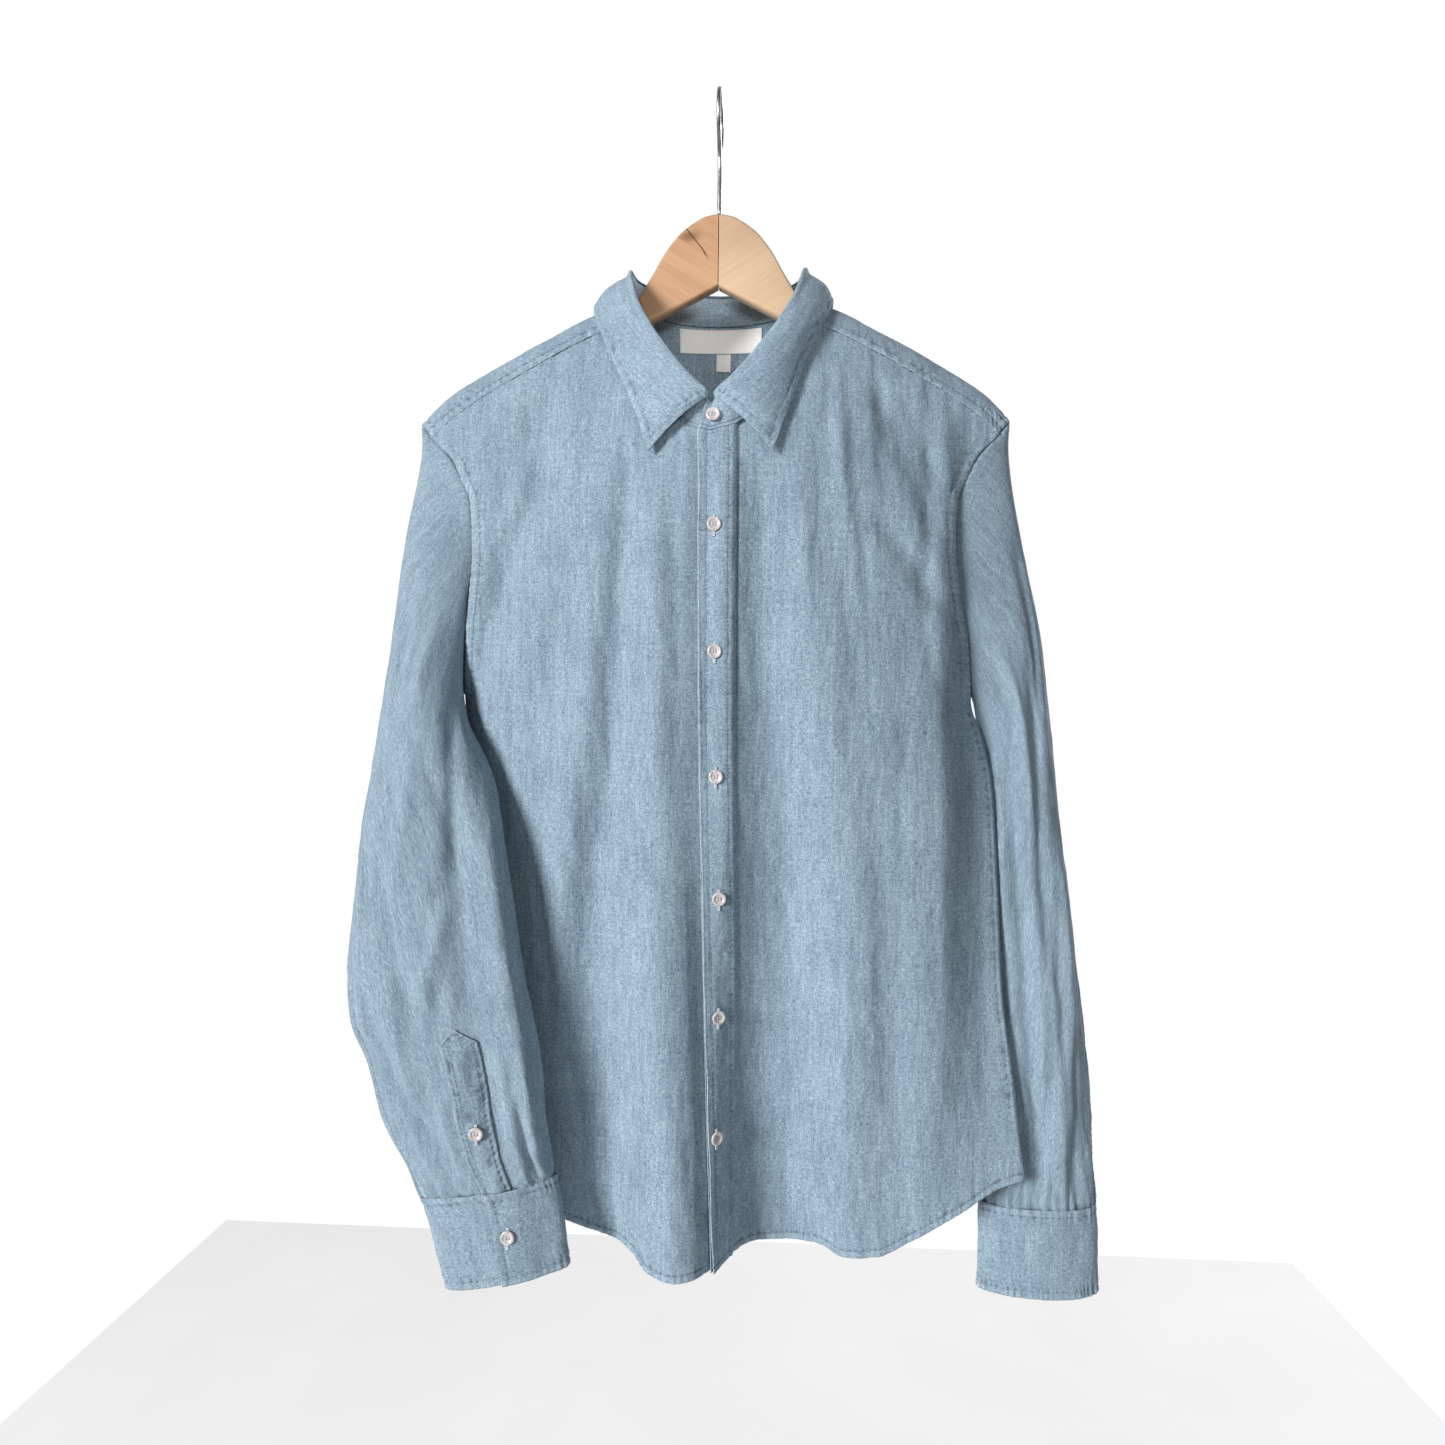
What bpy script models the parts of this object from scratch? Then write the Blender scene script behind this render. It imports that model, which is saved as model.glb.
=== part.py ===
"""Chambray shirt on a wooden hanger, hanging from its hook.

Lengths below are in millimetres and are scaled to metres when a mesh is made.
The origin is the inside top of the hook's bend, where it rests on whatever
holds it.  X runs across the shirt, with the wearer's left at +X.  -Y is the
side that faces the viewer, +Z is up.
"""

import math

import bmesh
import bpy
import numpy as np

MM = 0.001

# ---- driving dimensions ----------------------------------------------------
CLOTH = 1.2            # wall of every cloth piece
SEAM = 0.4             # gap between two pieces along a seam
LAYER = 0.4            # gap between a piece and the one it lies on
SHOULDER_HALF = 222.0  # centre of the shirt to the tip of a shoulder
NECK_HALF = 65.0       # centre of the shirt to the side of the neckline
ARMPIT_Z = -455.0      # height where the armhole ends and the side seam starts
FOLD_RADIUS = 10.0     # half the shirt's thickness just below the shoulder ridge
YOKE_FRONT = 23.5      # front yoke seam, below the ridge
YOKE_BACK_Z = -245.0   # back yoke seam at the centre back
YOKE_BACK_DROP = 53.0  # how much lower that seam is at the armhole
YOKE_BACK_HALF = 200.0 # centre back to the armhole along the back yoke seam
PLACKET_WIDTH = 27.0   # across the cloth; it looks narrower where it turns away
SETTLE = 4.5           # the shirt hangs this much to its right on the hanger
CUFF_HEIGHT = 64.0
BUTTON_RADIUS = 5.1
BUTTON_THICK = 2.2
WOOD_THICK = 11.0
WOOD_ROUND = 5.0       # rounding along the wood's long edges
WIRE_RADIUS = 1.6
HOOK_RADIUS = 20.0     # centre of the wire in the hook's bend
STEM_BOTTOM_Z = -90.6

# ---- tables: one row for each height, named by the columns ------------------
# half width across -> height of the shoulder's ridge
RIDGE_X = (0, 40, 65, 92, 120, 150, 185, 200, 212, 222, 240)
RIDGE_Z = (-140, -145, -155, -166, -181, -197, -217, -227, -238, -250, -275)

# height -> half width of the front armhole edge, and of the back one
ARMHOLE_Z = (-455, -442, -408, -380, -350, -312, -295, -278, -262, -250)
ARMHOLE_FRONT = (192, 190, 186, 181, 178, 180, 188, 196, 212, 222)
ARMHOLE_BACK = (192, 191, 190, 189, 189, 194, 200, 207, 217, 222)

# height -> right and left edge of the body (the part above the armpit only
# shapes the panels) and how far the side seam stands forward
SIDE_Z = (-804, -731, -663, -590, -517, -487, -455, -440, -420, -380, -300, -240)
SIDE_X = {+1: (230, 222, 214, 211, 207, 201, 192, 200, 210, 224, 242, 250),
          -1: (203, 191, 186, 185, 187, 190, 192, 200, 210, 224, 242, 250)}
SIDE_Y = {+1: (-20, -17, -14, -10, -5, -2, 0, 0, 0, 0, 0, 0),
          -1: (6, 6, 5, 4, 3, 2, 0, 0, 0, 0, 0, 0)}

# height -> how far the middle of the front and of the back stands out
DEPTH_Z = (-880, -770, -685, -600, -512, -430, -340, -300, -273, -252, -229, -203, -178, -155, -140)
FRONT_DEPTH = (32, 36, 39, 42, 45, 48, 51, 52, 53, 45, 36, 24, 11, 0, 0)
BACK_DEPTH = (24, 26, 27, 28, 30, 32, 36, 38, 39, 40, 41, 42, 43, 42, 40)
# height -> half width over which that depth fades, and how full its curve is
SPREAD_Z = (-880, -500, -455, -350, -250, -227, -217, -197, -181, -166, -155)
SPREAD = (250, 240, 240, 240, 232, 205, 185, 152, 122, 94, 66)
FULL_Z = (-880, -500, -300, -250, -200, -155)
FULLNESS = (1.3, 1.6, 2.0, 1.7, 0.9, 0.6)

# across, forward, height: where the front's hem runs
FRONT_HEM = ((-203, 4, -797), (-150, -6, -824), (-107, -17, -845), (-72, -15, -860),
             (-54, -28, -863), (-40, -48, -865), (-20, -54, -867), (4, -46, -866),
             (18, -20, -865), (34, -4, -864), (60, -2, -862), (84, -6, -862),
             (100, -24, -861), (125, -29, -858), (148, -27, -847), (184, -27, -826),
             (214, -26, -808), (230, -20, -804))
HEM_FOLDS_START = -480.0   # the hem's folds fade out at this height

# across and height at both ends of a crease, its depth and its width
FRONT_CREASES = ((-120, -215, -172, -390, 5.0, 13.0),
                 (108, -206, 174, -366, 4.0, 11.0),
                 (136, -226, 172, -330, 3.0, 8.0),
                 (112, -318, 180, -412, 4.0, 12.0))
# across, depth and width of the back's hanging folds
BACK_FOLDS = ((-128, 11.0, 26.0), (-52, 13.0, 24.0), (46, 12.0, 27.0), (122, 9.0, 24.0))

# height -> left edge of the overlap, at the centre of the front, and right
# edge of the placket
OVERLAP_Z = (-866, -675, -430, -273)
OVERLAP_X = (5, -2, -8, -9)
PLACKET_RIGHT = (19, 21, 18, 18)

# angle round the neck from the centre front -> height of the neckline
NECK_ANGLE = (0, 15, 30, 45, 60, 72, 80, 85, 88, 90, 180)
NECK_Z = (-273, -268, -252, -229, -203, -182, -167, -159, -156, -155, -155)

# sleeves: height, outer edge, inner edge, centre forward, half depth
SLEEVE = {
    -1: ((-250, 222, 180, -3, 13), (-285, 230, 181, -5, 17), (-324, 236, 182, -8, 20),
         (-385, 240, 186, -13, 23), (-446, 246, 180, -14, 26), (-491, 249, 165, -24, 32),
         (-558, 251, 147, -45, 26), (-624, 256, 135, -50, 25), (-671, 258, 127, -50, 25),
         (-697, 254, 121, -49, 24), (-725, 243, 117, -48, 23), (-754, 235, 113, -47, 22),
         (-782, 223, 110, -45, 19), (-807, 211, 106, -44, 15), (-822, 205, 103, -43, 13),
         (-885, 187, 95, -43, 13)),
    +1: ((-250, 222, 180, 4, 14), (-292, 231, 188, 4, 18), (-337, 239, 193, 6, 21),
         (-396, 244, 197, 8, 23), (-485, 254, 203, 12, 24), (-552, 261, 204, 14, 25),
         (-604, 269, 204, 14, 25), (-678, 278, 204, 13, 24), (-722, 283, 204, 12, 23),
         (-766, 287, 204, 12, 20), (-812, 289, 203, 10, 17), (-830, 290, 203, 9, 16),
         (-900, 292, 203, 8, 16)),
}
# height of the sleeve's lower ring, and how much its outer side is higher
SLEEVE_END_Z = {-1: -809.5, +1: -831.0}
SLEEVE_END_TILT = {-1: -10.0, +1: 0.0}
# where the sleeve placket sits round the sleeve, and how far up it reaches
GAUNTLET_ANGLES = {-1: (92.0, 100.0, 108.0, 116.0), +1: (250.0, 258.0, 266.0, 274.0)}
GAUNTLET_LENGTH = 108.0
GAUNTLET_POINT = 10.0      # the pointed end above that

# collar: angle round the neck -> where the band's upper edge folds over
FOLD_ANGLE = (0, 15, 30, 45, 60, 75, 90, 98, 106, 130, 155, 180)
FOLD_X = (0, 5, 14, 29.6, 45, 57, 64, 65.5, 65, 50, 28, 0)
FOLD_Y = (-57, -62, -63, -59, -50, -36, -14, 1, 13, 40, 52, 55)
FOLD_Z = (-249, -244, -236, -217, -193, -168, -141, -134, -132.5, -131, -130, -130)
# the folded leaf's outer edge, across and below the ridge (negative in front),
# and how high it lies over the body
LEAF_ANGLE = (3, 15, 30, 45, 60, 75, 84, 89, 92, 94, 96, 99, 104, 112, 125, 150, 180)
LEAF_X = (41.5, 47.5, 54.5, 64, 75, 84, 89, 91, 91.8, 92, 91.8, 91, 89, 84, 70, 40, 0)
LEAF_BELOW = (-145, -126, -106, -79.5, -52, -27, -13, -5, -1.5, 0, 1.5, 4, 8, 13, 18, 25, 31)
LEAF_LIFT = (5, 4, 3, 2, 2, 2, 2, 2, 2, 2, 2, 2, 3, 4, 6, 7, 7)
LEAF_TUCK = 6.0            # the left leaf's edge sits this much further in

BUTTON_ROWS = (-337.5, -425, -512, -598, -683, -769)   # heights down the placket
BUTTON_X = (3.0, 4.0, 5.5, 8.0, 7.5, 6.5)
NECK_BUTTON = (2.0, -263.0)

LABEL = (-34.0, 33.0, -157.0, -176.0)      # left, right, top, bottom
SIZE_TAB = (-4.3, 7.3, -176.4, -191.0)

# ---- materials: colour, roughness, metallic --------------------------------
FINISHES = {"chambray": ((0.145, 0.225, 0.315), 0.85, 0.0),
            "button": ((0.48, 0.45, 0.44), 0.35, 0.0),
            "label": ((0.78, 0.78, 0.76), 0.70, 0.0),
            "wood_light": ((0.62, 0.43, 0.25), 0.50, 0.0),
            "wood_dark": ((0.56, 0.31, 0.14), 0.50, 0.0),
            "steel": ((0.55, 0.55, 0.56), 0.28, 1.0)}


# ---- helpers ----------------------------------------------------------------
def settled(points):
    """Shift both shoulders to the shirt's right, less towards the neck and hem."""
    share = (points[..., 0] / SHOULDER_HALF) ** 2 * ease((points[..., 2] + 430) / 130)
    shift = np.zeros_like(points)
    shift[..., 0] = -SETTLE * np.minimum(share, 1.15)
    return points + shift


def clear_scene():
    for thing in list(bpy.data.objects):
        bpy.data.objects.remove(thing, do_unlink=True)


def finish(name):
    """The material of that name, made on first use."""
    if name in bpy.data.materials:
        return bpy.data.materials[name]
    colour, roughness, metallic = FINISHES[name]
    material = bpy.data.materials.new(name)
    material.use_nodes = True
    shader = material.node_tree.nodes["Principled BSDF"]
    shader.inputs["Base Color"].default_value = (*colour, 1.0)
    shader.inputs["Roughness"].default_value = roughness
    shader.inputs["Metallic"].default_value = metallic
    material.diffuse_color = (*colour, 1.0)
    return material


def add_mesh(name, vertices, faces, finish_name, smooth_below=50.0):
    """A closed mesh object, in metres, with its faces turned outwards."""
    mesh = bpy.data.meshes.new(name)
    mesh.from_pydata((settled(np.asarray(vertices, float)) * MM).tolist(), [], faces)
    work = bmesh.new()
    work.from_mesh(mesh)
    bmesh.ops.recalc_face_normals(work, faces=work.faces)
    work.to_mesh(mesh)
    work.free()
    mesh.shade_smooth()
    mesh.set_sharp_from_angle(angle=math.radians(smooth_below))
    thing = bpy.data.objects.new(name, mesh)
    thing.data.materials.append(finish(finish_name))
    bpy.context.collection.objects.link(thing)
    return thing


def curve(at, knots, values):
    """A smooth curve through the table's rows, flat at its highs and lows."""
    knots = np.asarray(knots, float)
    values = np.asarray(values, float)
    if knots[0] > knots[-1]:
        knots = knots[::-1]
        values = values[::-1]
    step = np.diff(knots)
    slope = np.diff(values) / step
    tangent = np.zeros_like(values)
    same_way = slope[:-1] * slope[1:] > 0
    weight = 2 * step[1:] + step[:-1]
    other = step[1:] + 2 * step[:-1]
    with np.errstate(divide="ignore", invalid="ignore"):
        mean = (weight + other) / (weight / slope[:-1] + other / slope[1:])
    tangent[1:-1] = np.where(same_way, mean, 0.0)
    tangent[0] = slope[0]
    tangent[-1] = slope[-1]
    at = np.clip(np.asarray(at, float), knots[0], knots[-1])
    k = np.clip(np.searchsorted(knots, at, side="right") - 1, 0, len(step) - 1)
    t = (at - knots[k]) / step[k]
    return ((2 * t**3 - 3 * t**2 + 1) * values[k] + (t**3 - 2 * t**2 + t) * step[k] * tangent[k]
            + (3 * t**2 - 2 * t**3) * values[k + 1] + (t**3 - t**2) * step[k] * tangent[k + 1])


def ease(t):
    """0 below 0, 1 above 1, and a smooth step between."""
    t = np.clip(t, 0.0, 1.0)
    return t * t * (3 - 2 * t)


def mix(a, b, t):
    return a + (b - a) * t


def unit(vectors):
    return vectors / np.maximum(np.linalg.norm(vectors, axis=-1, keepdims=True), 1e-9)


def grid_normals(grid, outward, ring=False):
    """Unit normals of a grid of points, on the side that `outward` points to."""
    if ring:
        along = np.roll(grid, -1, 0) - np.roll(grid, 1, 0)
    else:
        along = np.gradient(grid, axis=0)
    across = np.gradient(grid, axis=1)
    normal = unit(np.cross(along, across))
    if np.mean(np.sum(normal * outward, -1)) < 0:
        normal = -normal
    return normal


def wall_faces(columns, rows, ring=False):
    """Triangles of a wall between an outer and an inner grid, rims included.
    Both grids are cut along the same diagonals, so they stay parallel."""
    def vertex(layer, i, j):
        return (layer * columns + i % columns) * rows + j
    faces = []
    last = columns if ring else columns - 1
    for i in range(last):
        for j in range(rows - 1):
            for layer in (0, 1):
                corners = [vertex(layer, i, j), vertex(layer, i + 1, j),
                           vertex(layer, i + 1, j + 1), vertex(layer, i, j + 1)]
                faces.append(corners[:3])
                faces.append([corners[0], corners[2], corners[3]])
        faces.append([vertex(0, i + 1, 0), vertex(0, i, 0), vertex(1, i, 0), vertex(1, i + 1, 0)])
        faces.append([vertex(0, i, rows - 1), vertex(0, i + 1, rows - 1),
                      vertex(1, i + 1, rows - 1), vertex(1, i, rows - 1)])
    if not ring:
        for i in (0, columns - 1):
            for j in range(rows - 1):
                faces.append([vertex(0, i, j), vertex(0, i, j + 1), vertex(1, i, j + 1), vertex(1, i, j)])
    return faces


def add_wall(name, outer, normals, finish_name="chambray", thick=CLOTH, ring=False):
    """A wall whose outer face is the grid and which reaches `thick` inwards."""
    columns, rows = outer.shape[:2]
    inner = outer - normals * thick
    vertices = np.concatenate([outer.reshape(-1, 3), inner.reshape(-1, 3)])
    return add_mesh(name, vertices, wall_faces(columns, rows, ring), finish_name)


# ---- the body's surface -----------------------------------------------------
def ridge(x):
    return curve(np.abs(x), RIDGE_X, RIDGE_Z)


def side_edge(x, z):
    """Half width of the body and forward place of its side seam at a height."""
    right = np.asarray(x) >= 0
    width = np.where(right, curve(z, SIDE_Z, SIDE_X[+1]), curve(z, SIDE_Z, SIDE_X[-1]))
    forward = np.where(right, curve(z, SIDE_Z, SIDE_Y[+1]), curve(z, SIDE_Z, SIDE_Y[-1]))
    return width, forward


def crease(x, z, x_top, z_top, x_low, z_low, depth, width):
    """A soft trough along a line, fading at both of its ends."""
    t = (z - z_top) / (z_low - z_top)
    fade = ease(t * 4) * ease((1 - t) * 3)
    return depth * fade * np.exp(-((x - mix(x_top, x_low, t)) / width) ** 2)


def front_y(x, z):
    """Forward place of the front's outer face: a round fall from the ridge, a
    full middle that fades to the sides, creases, and the hem's folds below."""
    width, forward = side_edge(x, z)
    below = np.maximum(ridge(x) - z, 0.0)
    root = np.sqrt((below + FOLD_RADIUS) ** 2 - FOLD_RADIUS**2)
    fall = FOLD_RADIUS * root / np.sqrt(root**2 + FOLD_RADIUS**2)
    spread = np.clip(1 - (np.abs(x) / curve(z, SPREAD_Z, SPREAD)) ** 2, 0, 1)
    depth = curve(z, DEPTH_Z, FRONT_DEPTH) * spread ** curve(z, FULL_Z, FULLNESS)
    closing = np.clip(1 - np.minimum(np.abs(x) / width, 1) ** 8, 0, 1) ** 0.6
    y = -(fall + depth)
    for row in FRONT_CREASES:
        y = y + crease(x, z, *row)
    hem = np.array(FRONT_HEM)
    folded = curve(x, hem[:, 0], hem[:, 1])
    y = mix(y, folded, np.clip((HEM_FOLDS_START - z) / 386, 0, 1) ** 2)
    return forward * (1 - closing) + closing * y - SEAM / 2


def back_y(x, z):
    """Place of the back's outer face, made as the front's is."""
    width, forward = side_edge(x, z)
    below = np.maximum(ridge(x) - z, 0.0)
    root = np.sqrt((below + FOLD_RADIUS) ** 2 - FOLD_RADIUS**2)
    fall = FOLD_RADIUS * root / np.sqrt(root**2 + FOLD_RADIUS**2)
    reach = curve(z, SPREAD_Z, SPREAD) - 25 * ease((-440 - z) / 80)
    spread = np.clip(1 - (np.abs(x) / reach) ** 2, 0, 1)
    depth = curve(z, DEPTH_Z, BACK_DEPTH) * spread ** curve(z, FULL_Z, FULLNESS)
    closing = np.clip(1 - np.minimum(np.abs(x) / width, 1) ** 8, 0, 1) ** 0.6
    near_side = ease((np.abs(x) / width - 0.72) / 0.25) * ease((-470 - z) / 90)
    y = fall * (1 - 0.7 * near_side) + depth
    for across, deep, wide in BACK_FOLDS:
        y = y + deep * ease((-420 - z) / 430) * np.exp(-((x - across) / wide) ** 2)
    return forward * (1 - closing) + closing * y + SEAM / 2


def body_point(x, below):
    """Point of the body's outer face, a signed distance below the ridge that is
    negative in front."""
    z = ridge(x) - np.abs(below)
    y = np.where(below < 0, front_y(x, z) + SEAM / 2, back_y(x, z) - SEAM / 2)
    return np.stack([x, np.where(np.abs(below) < 1e-6, 0.0, y), z], -1)


def body_normal(x, below):
    """Outward normal there, from the slopes across and over the ridge."""
    step = 0.5
    across = body_point(x + step, below) - body_point(x - step, below)
    over = body_point(x, below + step) - body_point(x, below - step)
    return unit(np.cross(across, over))


def neckline(angle):
    """Across and height of the neckline at an angle from the centre front."""
    return NECK_HALF * np.sin(np.radians(angle)), curve(np.abs(angle), NECK_ANGLE, NECK_Z)


def placket_x(z, offset):
    """Across, at a distance over the cloth from the overlap's left edge."""
    left = curve(z, OVERLAP_Z, OVERLAP_X)
    return left + offset * (curve(z, OVERLAP_Z, PLACKET_RIGHT) - left) / PLACKET_WIDTH


def front_hem(x):
    hem = np.array(FRONT_HEM)
    return curve(x, hem[:, 0], hem[:, 2])


def back_hem(x):
    width = np.where(np.asarray(x) >= 0, SIDE_X[+1][0], SIDE_X[-1][0])
    return -880 + 78 * np.minimum(np.abs(x) / width, 1.0) ** 3.2


# ---- fronts, back and yoke --------------------------------------------------
NECK_STEPS = (26.0, 36.0, 46.0, 56.0, 65.0, 72.0, 77.0)   # angles on a front's neckline
SEAM_STEPS = (63.5, 78, 94, 111, 129, 147, 165, 182, 197, 206, 212)


def panel_edge(z, side, armhole_x):
    """The armhole's edge and, below the armpit, the side seam."""
    armhole = curve(z, ARMHOLE_Z, armhole_x)
    seam = curve(z, SIDE_Z, SIDE_X[side])
    return np.where(z > ARMPIT_Z, armhole, seam)


def panel_top(side, fixed_x):
    """Across and height of a front's upper edge: neckline, then yoke seam."""
    angles = np.concatenate([np.degrees(np.arcsin(side * fixed_x / NECK_HALF)), NECK_STEPS[:-1]])
    neck_x, neck_z = neckline(angles)
    seam_x = np.array(SEAM_STEPS)
    seam_z = ridge(seam_x) - YOKE_FRONT - SEAM / 2
    return np.concatenate([neck_x, seam_x]), np.concatenate([neck_z, seam_z])


ROWS_DOWN = (0, 0.03, 0.06, 0.09, 0.12, 0.16, 0.205, 0.25, 0.30, 0.35, 0.41, 0.48, 0.55, 0.62,
             0.69, 0.76, 0.82, 0.88, 0.94, 1.0)


def front_grid(side, offsets):
    """Grid of a front's outer face.  The first columns keep fixed distances from
    the overlap's edge, the others share the rest of the width."""
    top_x, top_z = panel_top(side, placket_x(NECK_Z[0], np.array(offsets, float)))
    rows = np.array(ROWS_DOWN)
    grid = np.zeros((len(top_x), len(rows), 3))
    for k in range(len(top_x)):
        if k < len(offsets):
            z = mix(top_z[k], front_hem(placket_x(-866.0, offsets[k])), rows)
            x = placket_x(z, offsets[k])
        else:
            inner = side * placket_x(top_z[k], offsets[-1])
            share = (top_x[k] - inner) / (panel_edge(top_z[k], side, ARMHOLE_FRONT) - inner)
            low = mix(side * placket_x(-866.0, offsets[-1]), panel_edge(SIDE_Z[0], side, ARMHOLE_FRONT), share)
            z = mix(top_z[k], front_hem(side * low), rows)
            x = side * mix(side * placket_x(z, offsets[-1]), panel_edge(z, side, ARMHOLE_FRONT), share)
        grid[k] = np.stack([x, front_y(x, z), z], -1)
    normals = grid_normals(grid, (0, -1, 0))
    return grid, square_seam(grid, normals, -1, side)


def square_seam(grid, normals, column, side):
    """Turn the wall at a side seam square to it, so that two rims lie parallel."""
    seam = grid[column, :, 2] < ARMPIT_Z + 1
    normals[column, seam] = (side, 0, 0)
    return normals


LEFT_OFFSETS = (0.0, 9.0, 18.0, 27.0)
RIGHT_OFFSETS = (27.0, 18.0, 9.0, 0.0, -4.5, -9.0, -16.0)


def fronts_and_placket():
    """The overlapping left front, the right front under it, and the strip."""
    left, normals = front_grid(+1, LEFT_OFFSETS)
    add_wall("front_left", left, normals)
    strip = len(LEFT_OFFSETS)
    lifted = left[:strip] + normals[:strip] * (CLOTH + LAYER + 0.2)
    add_wall("placket_front", lifted, normals[:strip])
    right, normals = front_grid(-1, RIGHT_OFFSETS)
    from_edge = right[..., 0] - placket_x(right[..., 2], 0.0)
    tuck = (CLOTH + LAYER + 0.1) * ease((from_edge + 13) / 8)
    tuck = tuck * (1 + 0.7 * ease((-540 - right[..., 2]) / 80))
    add_wall("front_right", right - normals * tuck[..., None], normals)


BACK_STEPS = (199.0, 194.5, 186.0, 173.0, 156.0, 136.0, 114.0, 91.0, 68.0, 45.0, 22.0, 0.0)


def back_panel():
    """The back, from the yoke's seam to the hem, with both sides of the body."""
    half = np.array(BACK_STEPS)
    across = np.concatenate([-half, half[-2::-1]])
    rows = np.array((0, 0.04, 0.09, 0.14, 0.19, 0.24, 0.29, 0.35, 0.42, 0.5, 0.58, 0.66,
                     0.74, 0.82, 0.9, 1.0))
    grid = np.zeros((len(across), len(rows), 3))
    for k, top_x in enumerate(across):
        side = 1 if top_x >= 0 else -1
        top = back_seam_z(top_x) - SEAM / 2
        share = abs(top_x) / panel_edge(top, side, ARMHOLE_BACK)
        z = mix(top, back_hem(side * share * SIDE_X[side][0]), rows)
        x = side * share * panel_edge(z, side, ARMHOLE_BACK)
        grid[k] = np.stack([x, back_y(x, z), z], -1)
    normals = grid_normals(grid, (0, 1, 0))
    normals = square_seam(grid, normals, 0, -1)
    add_wall("back", grid, square_seam(grid, normals, -1, +1))


def back_seam_z(x):
    """Height of the seam between the yoke and the back."""
    return YOKE_BACK_Z - YOKE_BACK_DROP * (np.abs(x) / YOKE_BACK_HALF) ** 1.5


# yoke: neck angle, then across and below the ridge on the armhole's edge
YOKE_SHOULDER = ((77.0, 212.0, -YOKE_FRONT), (81.0, 215.5, -14.0), (84.5, 219.0, -7.0),
                 (87.0, 221.0, -2.5), (88.7, 221.7, -0.8), (90.0, 222.0, 0.0), (91.3, 221.7, 0.8),
                 (93.5, 221.3, 2.5), (98.0, 219.7, 7.0), (103.0, 216.5, 15.0))
YOKE_ARMHOLE = ((108.0, -272.0), (113.0, -285.0))
YOKE_BACK_ANGLES = (118.0, 121.0, 124.0, 128.0, 132.0, 137.0, 143.0, 150.0, 157.0, 164.0, 172.0, 180.0)


def yoke():
    """One piece from front seam over the shoulders and behind the neck."""
    outer = list(YOKE_SHOULDER)
    for angle, z in YOKE_ARMHOLE:
        x = float(curve(z, ARMHOLE_Z, ARMHOLE_BACK))
        outer.append((angle, x, float(ridge(x)) - z))
    for angle, x in zip(YOKE_BACK_ANGLES, BACK_STEPS):
        outer.append((angle, x, float(ridge(x) - back_seam_z(x)) - SEAM / 2))
    outer = np.array(outer)
    neck_x, neck_z = neckline(outer[:, 0])
    neck_below = np.sign(outer[:, 0] - 90) * np.maximum(ridge(neck_x) - neck_z, 0.0)
    rows = (np.array(SEAM_STEPS) - SEAM_STEPS[0]) / (SEAM_STEPS[-1] - SEAM_STEPS[0])
    left = []
    for k in range(len(outer)):
        x = mix(neck_x[k], outer[k, 1], rows)
        below = mix(neck_below[k], outer[k, 2], rows)
        left.append(body_point(x, below))
    left = np.array(left)
    grid = np.concatenate([left, left[-2::-1] * np.array((-1, 1, 1))])
    outward = np.stack([grid[..., 0] * 0, grid[..., 1] * 2, grid[..., 0] * 0 + 20], -1)
    add_wall("yoke", grid, grid_normals(grid, outward))


# ---- collar -----------------------------------------------------------------
def neck_edge(angle):
    """The neckline as points, at signed angles from the centre front."""
    x, z = neckline(angle)
    y = np.where(np.abs(angle) < 90, front_y(x, z) + SEAM / 2, back_y(x, z) - SEAM / 2)
    return np.stack([x, np.where(np.isclose(np.abs(angle), 90), 0.0, y), z], -1)


def fold_line(angle):
    """Where the collar folds over: 30 from the neckline, measured on the band."""
    turn = np.abs(angle)
    x = np.sign(angle) * curve(turn, FOLD_ANGLE, FOLD_X)
    return np.stack([x, curve(turn, FOLD_ANGLE, FOLD_Y), curve(turn, FOLD_ANGLE, FOLD_Z)], -1)


def outward_at(angle):
    turn = np.radians(angle)
    return np.stack([np.sin(turn), -np.cos(turn), 0 * turn], -1)


BAND_HALF = (16.0, *NECK_STEPS, 81.0, 84.5, 87.0, 90.0, 93.5, 98.0, 103.0, 108.0, 113.0, 121.0,
             130.0, 143.0, 157.0, 170.0)
BAND_BULGE = 0.8           # how far the band is rounded outwards
BAND_UNDERLAP = 8.0        # degrees round the neck by which the right end runs under


def band_lift(angle):
    """How far the band's left end stands off, to lie over the right one."""
    return (CLOTH + LAYER + 0.6) * ease((36 - angle) / 18) * ease((angle + 22) / 12)


def collar_stand():
    """The neck band.  Its left end overlaps the right one at the front."""
    half = np.array(BAND_HALF)
    overlap = math.degrees(math.asin(placket_x(NECK_Z[0], 0.6) / NECK_HALF))
    angles = np.concatenate([[overlap, 0.0, 8.0], half, [180.0], 360 - half[::-1],
                             [352.0, 360.0, 360.0 + BAND_UNDERLAP]])
    signed = np.where(angles > 180, angles - 360, angles)
    low = neck_edge(signed)
    high = fold_line(signed)
    rise = unit(high - low)
    out = outward_at(angles)
    lift = np.where(angles < 180, band_lift(angles), 0.0)
    steep = 1.0 * ease((np.abs(signed) - 62) / 15) * ease((112 - np.abs(signed)) / 15)
    start = low + rise * (1.2 + steep)[:, None]
    stop = high - rise * 0.4
    grid = np.zeros((len(angles), 4, 3))
    for j, t in enumerate((0.0, 0.33, 0.66, 1.0)):
        grid[:, j] = mix(start, stop, t) + out * (lift + BAND_BULGE * math.sin(math.pi * t))[:, None]
    add_wall("collar_stand", grid, grid_normals(grid, out[:, None, :]))


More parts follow.
